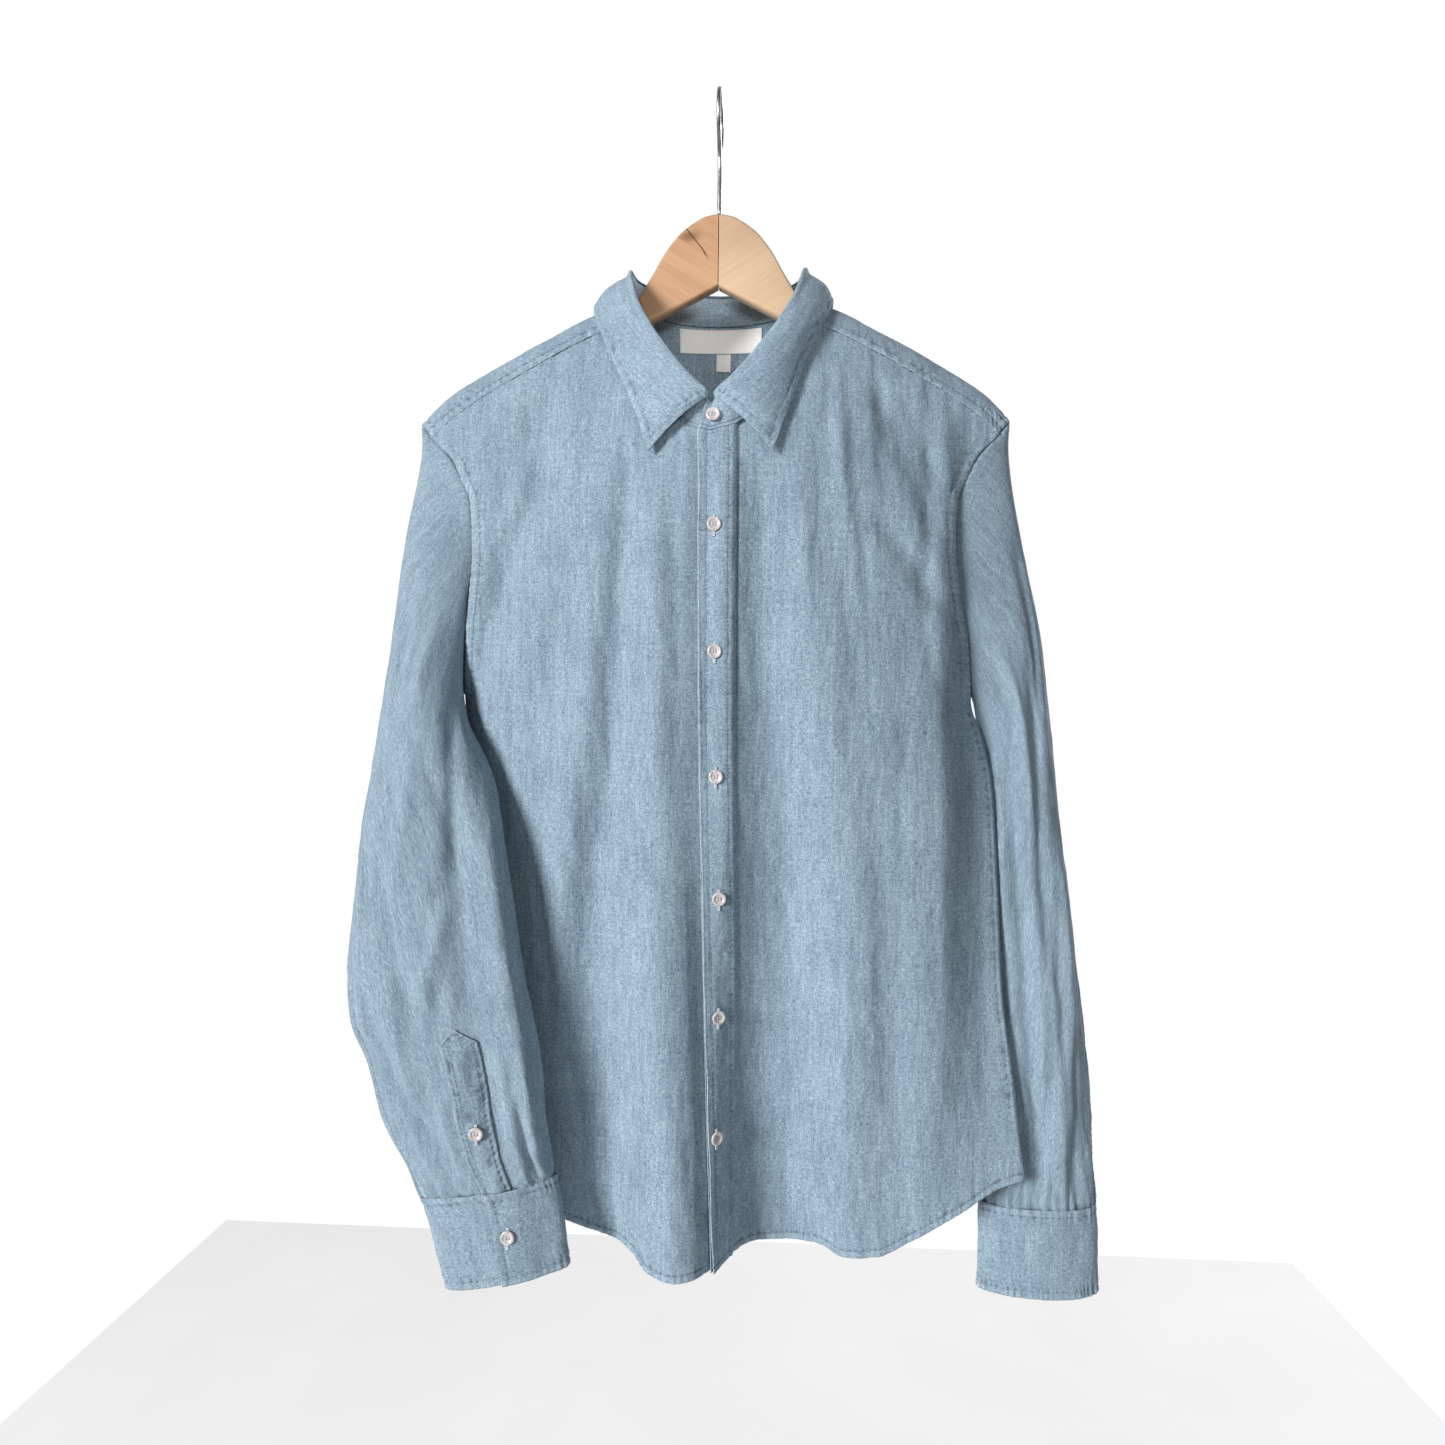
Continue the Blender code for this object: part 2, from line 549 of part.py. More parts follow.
LEAF_HALF = (5.0, 14.0, 24.0, 35.0, 46.0, 57.0, 67.0, 75.0, 81.0, 86.0, 90.0, 92.0, 94.0, 96.0, 99.0,
             104.0, 112.0, 122.0, 134.0, 148.0, 164.0, 180.0)


def collar_leaf():
    """The folded leaf: a small roll over the stand, then down to its edge,
    which lies over the body."""
    half = np.array(LEAF_HALF)
    angles = np.concatenate([half, 360 - half[-2::-1]])
    signed = np.where(angles > 180, angles - 360, angles)
    turn = np.abs(signed)
    side = np.where(signed >= 0, 1.0, -1.0)
    out = outward_at(signed)
    up = np.array((0, 0, 1.0))
    fold = fold_line(signed) + out * band_lift(signed)[:, None]
    tuck = LEAF_TUCK * ease((turn - 25) / 40) * ease((125 - turn) / 30) * (side > 0)
    edge_x = side * (curve(turn, LEAF_ANGLE, LEAF_X) - tuck)
    below = curve(turn, LEAF_ANGLE, LEAF_BELOW)
    lift = CLOTH + LAYER + curve(turn, LEAF_ANGLE, LEAF_LIFT)
    edge = body_point(edge_x, below) + body_normal(edge_x, below) * lift[:, None]
    roll = CLOTH + LAYER + 1.1
    rows = [fold + up * roll - out * 0.4, fold + up * roll * 0.8 + out * roll * 0.7,
            fold + out * (roll + 1.4) - up * 2.0]
    start = rows[-1]
    for t in (0.2, 0.45, 0.72, 1.0):
        rows.append(mix(start, edge, t) + (out * 4.0 + up * 2.0) * math.sin(math.pi * t))
    grid = np.stack(rows, 1)
    x = grid[..., 0]
    y = grid[..., 1]
    z = grid[..., 2]
    room = CLOTH + LAYER + 1.5
    beside = z < ridge(x) - 3.0
    y = np.where(beside & (y < 0), np.minimum(y, front_y(x, z) - room), y)
    grid[..., 1] = np.where(beside & (y > 0), np.maximum(y, back_y(x, z) + room), y)
    add_wall("collar_leaf", grid, grid_normals(grid, out[:, None, :] + up * 0.3))


# ---- sleeves and cuffs ------------------------------------------------------
SLEEVE_ROOM = 2.6          # least gap between a sleeve and the body beside it
SLEEVE_LAYERS = 3.4        # room for the sleeve's nearer layer under the farther one
OUT_SOONER = 14.0          # how much the way past the edge is preferred by the armpit
OUT_FADES_Z = {-1: (-482.0, -462.0), +1: (-560.0, -480.0)}   # none, and all of that
RELAX_ROUNDS = 4
RELAX_LAST = 1             # rounds of these in which nothing is pushed off the body
RELAX_END = 9              # rings from this one on keep their sections' shape


def sleeve_section(angle, z, side):
    """Point of a level section: an ellipse between the sleeve's two edges."""
    table = np.array(SLEEVE[side], float)
    heights = table[:, 0]
    outer = curve(z, heights, table[:, 1])
    inner = curve(z, heights, table[:, 2])
    centre = curve(z, heights, table[:, 3])
    deep = curve(z, heights, table[:, 4])
    turn = np.radians(angle)
    x = (outer + inner) / 2 + (outer - inner) / 2 * np.cos(turn)
    y = centre - deep * np.sin(turn)
    return side * x, y


def armhole_edge(angle, side):
    """The armhole's edge, from 0 at the shoulder tip over 90 in front to 180 at
    the armpit, and the body's outward direction there."""
    top = float(ridge(SHOULDER_HALF))
    z = (top + ARMPIT_Z) / 2 + (top - ARMPIT_Z) / 2 * np.cos(np.radians(angle))
    front = (angle % 360) < 180
    x = side * np.where(front, curve(z, ARMHOLE_Z, ARMHOLE_FRONT), curve(z, ARMHOLE_Z, ARMHOLE_BACK))
    tip = np.isclose(angle % 360, 0)
    y = np.where(tip, 0.0, np.where(front, front_y(x, z), back_y(x, z)))
    step = 0.4
    inner = x - side * step
    ahead = np.stack([front_y(inner, z) - front_y(inner - side * step, z),
                      np.full(len(z), -step), front_y(inner, z) - front_y(inner, z - step)], -1)
    behind = np.stack([back_y(inner - side * step, z) - back_y(inner, z),
                       np.full(len(z), step), back_y(inner, z - step) - back_y(inner, z)], -1)
    ahead[:, 0] *= side
    behind[:, 0] *= side
    ahead = unit(ahead)
    behind = unit(behind)
    end = tip | np.isclose(angle % 360, 180)
    out = np.where(end[:, None], unit(ahead + behind), np.where(front[:, None], ahead, behind))
    return np.stack([x, y, z], -1), out


def clear_of_body(grid, side, angles):
    """Keep a sleeve off the body: each point inside it moves the shorter way,
    past the panel's edge or in front of the body (behind it on the left).
    Near the armpit the way past the edge is taken sooner.  The sleeve's layer
    that is farther from the body keeps more room, for the nearer one."""
    x = grid[..., 0]
    y = grid[..., 1]
    z = grid[..., 2]
    middle = side_edge(x, z)[1]
    width = np.where(y < middle, panel_edge(z, side, ARMHOLE_FRONT), panel_edge(z, side, ARMHOLE_BACK))
    room = mix(1.2, SLEEVE_ROOM, ease((-380 - z) / 90))
    farther = np.sqrt(np.maximum(-side * np.sin(np.radians(angles)), 0))[:, None]
    past = room + SLEEVE_LAYERS * farther * ease((-425 - z) / 30)
    if side < 0:
        sideways = y - (front_y(x, z) - past)
    else:
        sideways = (back_y(x, z) + past) - y
    outward = width + room - np.abs(x)
    none, full = OUT_FADES_Z[side]
    sooner = OUT_SOONER * ease((z - none) / (full - none))
    inside = (sideways > 0) & (outward > 0)
    go_out = inside & (outward - sooner < sideways)
    go_past = inside & ~go_out
    x = np.where(go_out, side * (width + room), x)
    y = np.where(go_past, y + side * sideways, y)
    return np.stack([x, y, z], -1)


def relaxed(grid, side, angles):
    """Even the sleeve's upper rings out between the armhole and the sections."""
    for left in range(RELAX_ROUNDS, 0, -1):
        around = (np.roll(grid, 1, 0) + np.roll(grid, -1, 0)) / 2
        even = grid.copy()
        even[:, 1:-1] = (around[:, 1:-1] + (grid[:, :-2] + grid[:, 2:]) / 2) / 2
        share = 0.6 * ease((RELAX_END - np.arange(grid.shape[1])) / 4)
        moved = mix(grid, even, share[:, None])
        moved[:, 0] = grid[:, 0]
        if left > RELAX_LAST:
            moved[:, 1:] = clear_of_body(moved[:, 1:], side, angles)
        grid = moved
    return grid


def sleeve_angles(side):
    plain = [0, 12, 24, 37, 51, 65, 78, 124, 139, 156, 180, 204, 221, 236]
    if side < 0:
        plain += [254, 272, 290, 308, 323, 336, 348]
    else:
        plain = [a for a in plain if a < 79] + [94, 109] + [a for a in plain if a > 79]
        plain += [287, 300, 314, 325, 336, 348]
    return np.array(sorted(plain + list(GAUNTLET_ANGLES[side])), float)


def sleeve_grid(side):
    """Rings from the armhole to the cuff: the first is the armhole's edge, and
    the later ones swing level and take the shape of the sleeve's sections."""
    angles = sleeve_angles(side)
    steps = np.array((0, 0.027, 0.055, 0.085, 0.12, 0.16, 0.21, 0.27, 0.34, 0.42, 0.5, 0.58, 0.66,
                      0.73, 0.79, 0.85, 0.9, 0.95, 1.0))
    top = float(ridge(SHOULDER_HALF))
    middle = mix((top + ARMPIT_Z) / 2, SLEEVE_END_Z[side], steps)
    tilt = (top - ARMPIT_Z) / 2 * (1 - ease(steps / 0.45)) + SLEEVE_END_TILT[side] * ease((steps - 0.5) * 2)
    edge, out = armhole_edge(angles, side)
    grid = np.zeros((len(angles), len(steps), 3))
    for j in range(len(steps)):
        z = middle[j] + tilt[j] * np.cos(np.radians(angles))
        x, y = sleeve_section(angles, z, side)
        blend = ease((steps[j] + 0.04) / 0.26) * (j > 0)
        grid[:, j, 0] = mix(edge[:, 0], x, blend)
        grid[:, j, 1] = mix(edge[:, 1], y, blend)
        grid[:, j, 2] = z
    round_edge = np.roll(edge, -1, 0) - np.roll(edge, 1, 0)
    away = unit(np.cross(round_edge, out))
    away *= np.sign(np.sum(away * np.array((side, 0, -0.8)), -1))[:, None]
    armpit = ease((-np.cos(np.radians(angles)) - 0.88) / 0.1)[:, None]
    away = unit(mix(away, np.array((side * 1.0, 0, 0)), armpit))
    out = unit(mix(out, np.array((side * 0.15, 0, -1.0)), armpit))
    curved = np.exp(-((angles - 62) / 24) ** 2)
    grid[:, 0] = edge + away * (SEAM + 0.5 + 0.7 * curved)[:, None]
    grid[:, 1:] = clear_of_body(grid[:, 1:], side, angles)
    return angles, relaxed(grid, side, angles), out


def sleeve_and_placket(side, word):
    """A sleeve, its tower placket and the button on that placket."""
    angles, grid, out = sleeve_grid(side)
    axis = grid.mean(axis=0, keepdims=True)
    normals = grid_normals(grid, grid - axis, ring=True)
    for _ in range(3):
        around = unit(np.roll(normals, 1, 0) + normals * 2 + np.roll(normals, -1, 0))
        normals[:, 1:8] = around[:, 1:8]
    leaving = unit(grid[:, 1] - grid[:, 0])
    square = out + normals[:, 1]
    normals[:, 0] = unit(square - leaving * np.sum(square * leaving, -1, keepdims=True))
    add_wall("sleeve_" + word, grid, normals, ring=True)
    keep = [int(np.argmin(np.abs(angles - a))) for a in GAUNTLET_ANGLES[side]]
    bottom = grid[keep, -1, 2].mean()
    height = grid[keep, :, 2].mean(axis=0) - bottom
    rows = [j for j in range(grid.shape[1]) if height[j] < GAUNTLET_LENGTH - 4]
    tops = []
    for reach in (GAUNTLET_LENGTH + GAUNTLET_POINT, GAUNTLET_LENGTH):
        upper = int(np.max(np.nonzero(height > reach)))
        share = (height[upper] - reach) / (height[upper] - height[upper + 1])
        tops.append((mix(grid[keep, upper], grid[keep, upper + 1], share),
                     unit(mix(normals[keep, upper], normals[keep, upper + 1], share))))
    strip = np.concatenate([np.stack([tops[0][0], tops[1][0]], 1), grid[np.ix_(keep, rows)]], 1)
    out = np.concatenate([np.stack([tops[0][1], tops[1][1]], 1), normals[np.ix_(keep, rows)]], 1)
    middle = strip[1:3, 0].mean(axis=0)
    strip[:, 0] = mix(strip[:, 0], middle, 0.8)
    strip = strip + out * (CLOTH + LAYER)
    add_wall("sleeve_placket_" + word, strip, out)
    row = strip.shape[1] - 3
    place = strip[1:3, row].mean(axis=0)
    add_button("button_gauntlet_" + word, place, out[1:3, row].mean(axis=0))


def cuff(side, word):
    """A band round the wrist.  Its outer end lies over the other by 26 mm."""
    first = GAUNTLET_ANGLES[side][0]
    around = np.concatenate([[0, 8, 16, 24, 34], np.arange(48, 350, 14), [352, 361, 370, 380]])
    angles = first + around
    z_top = SLEEVE_END_Z[side] - SEAM - 0.3
    rows = np.array((0.0, 0.5, 1.0))
    grid = np.zeros((len(angles), len(rows), 3))
    for j, t in enumerate(rows):
        z = z_top + SLEEVE_END_TILT[side] * np.cos(np.radians(angles)) - CUFF_HEIGHT * t
        x, y = sleeve_section(angles, z, side)
        grid[:, j] = np.stack([x, y, z], -1)
    centre = grid.mean(axis=0, keepdims=True)
    normals = grid_normals(grid, grid - centre)
    lift = (CLOTH + LAYER + 0.2) * ease((46 - around) / 22)
    grid = grid + normals * lift[:, None, None]
    add_wall("cuff_" + word, grid, normals)
    add_button("button_cuff_" + word, grid[1:3, 1].mean(axis=0), normals[1:3, 1].mean(axis=0))


# ---- buttons, label ---------------------------------------------------------
def add_button(name, place, direction):
    """A turned disc with a raised rim and a dished middle, lying on a face."""
    r = BUTTON_RADIUS
    profile = np.array(((0.0, 0.4), (r - 0.8, 0.4), (r, 0.9), (r, BUTTON_THICK - 0.5),
                        (r - 0.9, BUTTON_THICK), (r - 2.0, BUTTON_THICK - 0.6), (0.0, BUTTON_THICK - 0.6)))
    sides = 14
    axis = unit(np.asarray(direction, float))
    across = unit(np.cross(axis, (0, 0.0, 1.0)))
    upward = np.cross(across, axis)
    turn = np.arange(sides) * 2 * math.pi / sides
    rings = []
    for radius, height in profile[1:-1]:
        spokes = np.outer(np.cos(turn), across) + np.outer(np.sin(turn), upward)
        rings.append(place + axis * height + spokes * radius)
    vertices = np.concatenate([*rings, [place + axis * profile[0, 1]], [place + axis * profile[-1, 1]]])
    count = len(rings)
    faces = []
    for k in range(count - 1):
        for i in range(sides):
            n = (i + 1) % sides
            faces.append([k * sides + i, k * sides + n, (k + 1) * sides + n, (k + 1) * sides + i])
    for i in range(sides):
        n = (i + 1) % sides
        faces.append([count * sides, n, i])
        faces.append([count * sides + 1, (count - 1) * sides + i, (count - 1) * sides + n])
    add_mesh(name, vertices, faces, "button", 35.0)


def front_buttons():
    """Six down the placket and one on the neck band."""
    for number, (x, z) in enumerate(zip(BUTTON_X, BUTTON_ROWS), start=1):
        near = np.array((x, float(front_y(x, z)), z))
        out = surface_normal(x, z)
        add_button("button_front_%d" % number, near + out * (CLOTH + 2 * LAYER + 0.2), out)
    x, z = NECK_BUTTON
    angle = math.degrees(math.asin(x / NECK_HALF))
    low = neck_edge(np.array([angle]))[0]
    high = fold_line(np.array([angle]))[0]
    share = (z - low[2]) / (high[2] - low[2])
    out = unit(np.cross((1.0, 0, 0), high - low))
    if out[1] > 0:
        out = -out
    lift = float(band_lift(angle)) + BAND_BULGE + 2 * LAYER + 0.6
    add_button("button_neck", mix(low, high, share) + out * lift, out)


def surface_normal(x, z):
    """Outward normal of the front at a point, from its slopes."""
    d = 2.0
    slope_x = (front_y(x + d, z) - front_y(x - d, z)) / (2 * d)
    slope_z = (front_y(x, z + d) - front_y(x, z - d)) / (2 * d)
    return unit(np.array((float(slope_x), -1.0, float(slope_z))))


def inside_patch(name, left, right, top, bottom, thick):
    """A small flat piece that lies on the inside of the back neck."""
    x, z = np.meshgrid(np.linspace(left, right, 9), np.linspace(top, bottom, 4), indexing="ij")
    grid = np.stack([x, back_y(x, z), z], -1)
    normals = grid_normals(grid, (0, 1, 0))
    add_wall(name, grid - normals * (CLOTH + LAYER + 0.3), normals, "label", thick)


# ---- hanger -----------------------------------------------------------------
ARCH_X = (0, 10, 19.5, 27, 36, 42.5, 48, 54, 60)
ARCH_Z = (-91, -93, -98, -103.5, -113.5, -123, -133, -143, -153)
ARM_END = 208.0
UNDER_Z = -146.0
UNDER_SLOPE = 0.54


def wood_top(x):
    """Upper outline: an arch in the neck, then just under the cloth's ridge."""
    slope = (ridge(x + 1.0) - ridge(x - 1.0)) / 2
    under_cloth = ridge(x) - (CLOTH + LAYER + 0.1) * np.sqrt(1 + slope**2) - 0.8 * ease((x - 140) / 40)
    return np.where(x < 60, curve(x, ARCH_X, ARCH_Z), under_cloth)


def hanger_arm(side, word, finish_name):
    """Half of the hanger: rounded sections from the mitre to the arm's end."""
    stations = np.array((0.3, 10, 19.5, 27, 35, 42, 49, 57, 63.5, 78, 94, 111, 129, 147, 165, 182,
                         197, 204, ARM_END))
    top = wood_top(stations)
    under = UNDER_Z - UNDER_SLOPE * stations
    end = np.clip((stations - 195) / (ARM_END - 195), 0, 1)
    top = top - 5.0 * end**3
    under = under + 7.0 * end**3
    half = WOOD_THICK / 2
    corner = np.radians((0, 45, 90))
    vertices = []
    for x, high, low in zip(stations, top, under):
        section = []
        r = min(WOOD_ROUND, (high - low) / 2 - 0.3)
        for cy, cz, start in ((half - r, high - r, 0), (-half + r, high - r, 90),
                              (-half + r, low + r, 180), (half - r, low + r, 270)):
            for a in corner:
                turn = a + math.radians(start)
                section.append((side * x, cy + r * math.cos(turn), cz + r * math.sin(turn)))
        vertices += section
    count = 12
    faces = []
    for k in range(len(stations) - 1):
        for i in range(count):
            n = (i + 1) % count
            faces.append([k * count + i, k * count + n, (k + 1) * count + n, (k + 1) * count + i])
    faces.append(list(range(count))[::-1])
    faces.append([(len(stations) - 1) * count + i for i in range(count)])
    add_mesh("hanger_arm_" + word, vertices, faces, finish_name, 40.0)


def hanger_hook():
    """A wire: up from the wood, out to one side and over in a round bend."""
    centre_z = WIRE_RADIUS - HOOK_RADIUS
    bend = np.radians(np.linspace(-128, 118, 22))
    loop = np.stack([0 * bend, HOOK_RADIUS * np.sin(bend), centre_z + HOOK_RADIUS * np.cos(bend)], -1)
    stem_z = np.array((STEM_BOTTOM_Z, -80, -68, -58))
    stem = np.stack([0 * stem_z, 0 * stem_z, stem_z], -1)
    start = stem[-1]
    stop = loop[0]
    pull = 14.0
    tangent = np.array((0, math.cos(bend[0]), -math.sin(bend[0])))
    t = np.array((0.2, 0.4, 0.6, 0.8))[:, None]
    join = ((1 - t) ** 3 * start + 3 * (1 - t) ** 2 * t * (start + np.array((0, 0, pull)))
            + 3 * (1 - t) * t**2 * (stop - tangent * pull) + t**3 * stop)
    path = np.concatenate([stem, join, loop])
    along = unit(np.gradient(path, axis=0))
    sideways = np.array((1.0, 0, 0))
    sides = 10
    turn = np.arange(sides) * 2 * math.pi / sides
    radius = np.full(len(path), WIRE_RADIUS)
    rings = []
    for k in range(len(path)):
        other = np.cross(along[k], sideways)
        rings.append(path[k] + radius[k] * (np.outer(np.cos(turn), sideways) + np.outer(np.sin(turn), other)))
    tip = path[-1] + along[-1] * WIRE_RADIUS
    vertices = np.concatenate([*rings, [path[0]], [tip]])
    faces = []
    for k in range(len(path) - 1):
        for i in range(sides):
            n = (i + 1) % sides
            faces.append([k * sides + i, k * sides + n, (k + 1) * sides + n, (k + 1) * sides + i])
    last = (len(path) - 1) * sides
    for i in range(sides):
        n = (i + 1) % sides
        faces.append([len(vertices) - 2, n, i])
        faces.append([len(vertices) - 1, last + i, last + n])
    add_mesh("hanger_hook", vertices, faces, "steel", 60.0)


def main():
    clear_scene()
    fronts_and_placket()
    back_panel()
    yoke()
    collar_stand()
    collar_leaf()
    for side, word in ((-1, "right"), (+1, "left")):
        sleeve_and_placket(side, word)
        cuff(side, word)
    front_buttons()
    inside_patch("neck_label", *LABEL, 0.6)
    inside_patch("size_tab", *SIZE_TAB, 0.5)
    hanger_arm(-1, "right", "wood_dark")
    hanger_arm(+1, "left", "wood_light")
    hanger_hook()


main()
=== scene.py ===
"""A chambray shirt on a wooden hanger: the finished cloth, buttons, wood and wire.

Lengths are in millimetres and become metres when a mesh is made.  The origin is
the inside top of the hook's bend.  X runs across the shirt with the wearer's
left at +X, -Y faces the viewer and +Z is up.  Every cloth piece is a grid of
points over two parameters, with its folds, seams and puckers added along the
grid's normals, and is closed to a thin wall.
"""

import math

import bpy
import numpy as np
from mathutils import Matrix


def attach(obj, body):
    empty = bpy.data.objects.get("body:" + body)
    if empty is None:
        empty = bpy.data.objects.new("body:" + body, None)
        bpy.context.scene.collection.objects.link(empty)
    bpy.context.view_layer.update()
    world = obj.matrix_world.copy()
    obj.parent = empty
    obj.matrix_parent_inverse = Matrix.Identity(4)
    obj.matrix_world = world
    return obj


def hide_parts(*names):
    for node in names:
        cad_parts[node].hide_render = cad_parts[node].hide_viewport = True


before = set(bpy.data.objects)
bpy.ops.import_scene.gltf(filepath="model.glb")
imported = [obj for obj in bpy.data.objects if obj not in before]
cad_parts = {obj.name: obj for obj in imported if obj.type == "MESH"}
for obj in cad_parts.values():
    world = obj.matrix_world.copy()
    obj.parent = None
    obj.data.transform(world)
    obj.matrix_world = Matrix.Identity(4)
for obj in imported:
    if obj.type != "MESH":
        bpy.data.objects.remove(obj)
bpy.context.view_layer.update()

MM = 0.001

# ---- driving dimensions ----------------------------------------------------
CLOTH = 1.2            # wall of every cloth piece
SEAM = 0.4             # gap between two pieces along a seam
LAYER = 0.4            # gap between a piece and the one it lies on
SHOULDER_HALF = 222.0  # centre of the shirt to the tip of a shoulder
NECK_HALF = 65.0       # centre of the shirt to the side of the neckline
ARMPIT_Z = -455.0      # height where the armhole ends and the side seam starts
FOLD_RADIUS = 10.0     # half the shirt's thickness just below the shoulder ridge
YOKE_FRONT = 23.5      # front yoke seam, below the ridge
YOKE_BACK_Z = -245.0   # back yoke seam at the centre back
YOKE_BACK_DROP = 53.0  # how much lower that seam is at the armhole
YOKE_BACK_HALF = 200.0 # centre back to the armhole along the back yoke seam
PLACKET_WIDTH = 27.0   # across the cloth; it looks narrower where it turns away
UNDER_REACH = -16.0    # the right front runs this far under it, from its left edge
SETTLE = 4.5           # the shirt hangs this much to its right on the hanger
CUFF_HEIGHT = 64.0
WOOD_THICK = 11.0
WOOD_ROUND = 5.0       # rounding along the wood's long edges
WIRE_RADIUS = 1.6
HOOK_RADIUS = 20.0     # centre of the wire in the hook's bend
STEM_BOTTOM_Z = -90.6
STEM_TOP_Z = -58.0
HOOK_PULL = 14.0       # how far the joining curve runs on along both of its ends

# ---- tables: one row for each height, named by the columns ------------------
# half width across -> height of the shoulder's ridge
RIDGE_X = (0, 40, 65, 92, 120, 150, 185, 200, 212, 222, 240)
RIDGE_Z = (-140, -145, -155, -166, -181, -197, -217, -227, -238, -250, -275)

# height -> half width of the front armhole edge, and of the back one
ARMHOLE_Z = (-455, -442, -408, -380, -350, -312, -295, -278, -262, -250)
ARMHOLE_FRONT = (192, 190, 186, 181, 178, 180, 188, 196, 212, 222)
ARMHOLE_BACK = (192, 191, 190, 189, 189, 194, 200, 207, 217, 222)

# height -> right and left edge of the body (the part above the armpit only
# shapes the panels) and how far the side seam stands forward
SIDE_Z = (-804, -731, -663, -590, -517, -487, -455, -440, -420, -380, -300, -240)
SIDE_X = {+1: (230, 222, 214, 211, 207, 201, 192, 200, 210, 224, 242, 250),
          -1: (203, 191, 186, 185, 187, 190, 192, 200, 210, 224, 242, 250)}
SIDE_Y = {+1: (-20, -17, -14, -10, -5, -2, 0, 0, 0, 0, 0, 0),
          -1: (6, 6, 5, 4, 3, 2, 0, 0, 0, 0, 0, 0)}

# height -> how far the middle of the front and of the back stands out
DEPTH_Z = (-880, -770, -685, -600, -512, -430, -340, -300, -273, -252, -229, -203, -178, -155, -140)
FRONT_DEPTH = (32, 36, 39, 42, 45, 48, 51, 52, 53, 45, 36, 24, 11, 0, 0)
BACK_DEPTH = (24, 26, 27, 28, 30, 32, 36, 38, 39, 40, 41, 42, 43, 42, 40)
# height -> half width over which that depth fades, and how full its curve is
SPREAD_Z = (-880, -500, -455, -350, -250, -227, -217, -197, -181, -166, -155)
SPREAD = (250, 240, 240, 240, 232, 205, 185, 152, 122, 94, 66)
FULL_Z = (-880, -500, -300, -250, -200, -155)
FULLNESS = (1.3, 1.6, 2.0, 1.7, 0.9, 0.6)

# across, forward, height: where the front's hem runs
FRONT_HEM = ((-203, 4, -797), (-150, -6, -824), (-107, -17, -845), (-72, -15, -860),
             (-54, -28, -863), (-40, -48, -865), (-20, -54, -867), (4, -46, -866),
             (18, -20, -865), (34, -4, -864), (60, -2, -862), (84, -6, -862),
             (100, -24, -861), (125, -29, -858), (148, -27, -847), (184, -27, -826),
             (214, -26, -808), (230, -20, -804))
HEM_FOLDS_START = -480.0   # the hem's folds start at this height
HEM_FOLDS_TALL = 386.0     # and are full this much lower

# across and height at both ends of a crease, its depth and its width
FRONT_CREASES = ((-120, -215, -172, -390, 5.0, 13.0),
                 (108, -206, 174, -366, 4.0, 11.0),
                 (136, -226, 172, -330, 3.0, 8.0),
                 (112, -318, 180, -412, 4.0, 12.0))
# across, depth and width of the back's hanging folds
BACK_FOLDS = ((-128, 11.0, 26.0), (-52, 13.0, 24.0), (46, 12.0, 27.0), (122, 9.0, 24.0))

# height -> left edge of the overlap, at the centre of the front, and right
# edge of the placket
OVERLAP_Z = (-866, -675, -430, -273)
OVERLAP_X = (5, -2, -8, -9)
PLACKET_RIGHT = (19, 21, 18, 18)

# angle round the neck from the centre front -> height of the neckline
NECK_ANGLE = (0, 15, 30, 45, 60, 72, 80, 85, 88, 90, 180)
NECK_Z = (-273, -268, -252, -229, -203, -182, -167, -159, -156, -155, -155)

# sleeves: height, outer edge, inner edge, centre forward, half depth
SLEEVE = {
    -1: ((-250, 222, 180, -3, 13), (-285, 230, 181, -5, 17), (-324, 236, 182, -8, 20),
         (-385, 240, 186, -13, 23), (-446, 246, 180, -14, 26), (-491, 249, 165, -24, 32),
         (-558, 251, 147, -45, 26), (-624, 256, 135, -50, 25), (-671, 258, 127, -50, 25),
         (-697, 254, 121, -49, 24), (-725, 243, 117, -48, 23), (-754, 235, 113, -47, 22),
         (-782, 223, 110, -45, 19), (-807, 211, 106, -44, 15), (-822, 205, 103, -43, 13),
         (-885, 187, 95, -43, 13)),
    +1: ((-250, 222, 180, 4, 14), (-292, 231, 188, 4, 18), (-337, 239, 193, 6, 21),
         (-396, 244, 197, 8, 23), (-485, 254, 203, 12, 24), (-552, 261, 204, 14, 25),
         (-604, 269, 204, 14, 25), (-678, 278, 204, 13, 24), (-722, 283, 204, 12, 23),
         (-766, 287, 204, 12, 20), (-812, 289, 203, 10, 17), (-830, 290, 203, 9, 16),
         (-900, 292, 203, 8, 16)),
}
# height of the sleeve's lower ring, and how much its outer side is higher
SLEEVE_END_Z = {-1: -809.5, +1: -831.0}
SLEEVE_END_TILT = {-1: -10.0, +1: 0.0}
# where the sleeve placket sits round the sleeve, and how far up it reaches
GAUNTLET_ANGLES = {-1: (92.0, 100.0, 108.0, 116.0), +1: (250.0, 258.0, 266.0, 274.0)}
GAUNTLET_LENGTH = 108.0
GAUNTLET_POINT = 10.0      # the pointed end above that

# collar: angle round the neck -> where the band's upper edge folds over
FOLD_ANGLE = (0, 15, 30, 45, 60, 75, 90, 98, 106, 130, 155, 180)
FOLD_X = (0, 5, 14, 29.6, 45, 57, 64, 65.5, 65, 50, 28, 0)
FOLD_Y = (-57, -62, -63, -59, -50, -36, -14, 1, 13, 40, 52, 55)
FOLD_Z = (-249, -244, -236, -217, -193, -168, -141, -134, -132.5, -131, -130, -130)
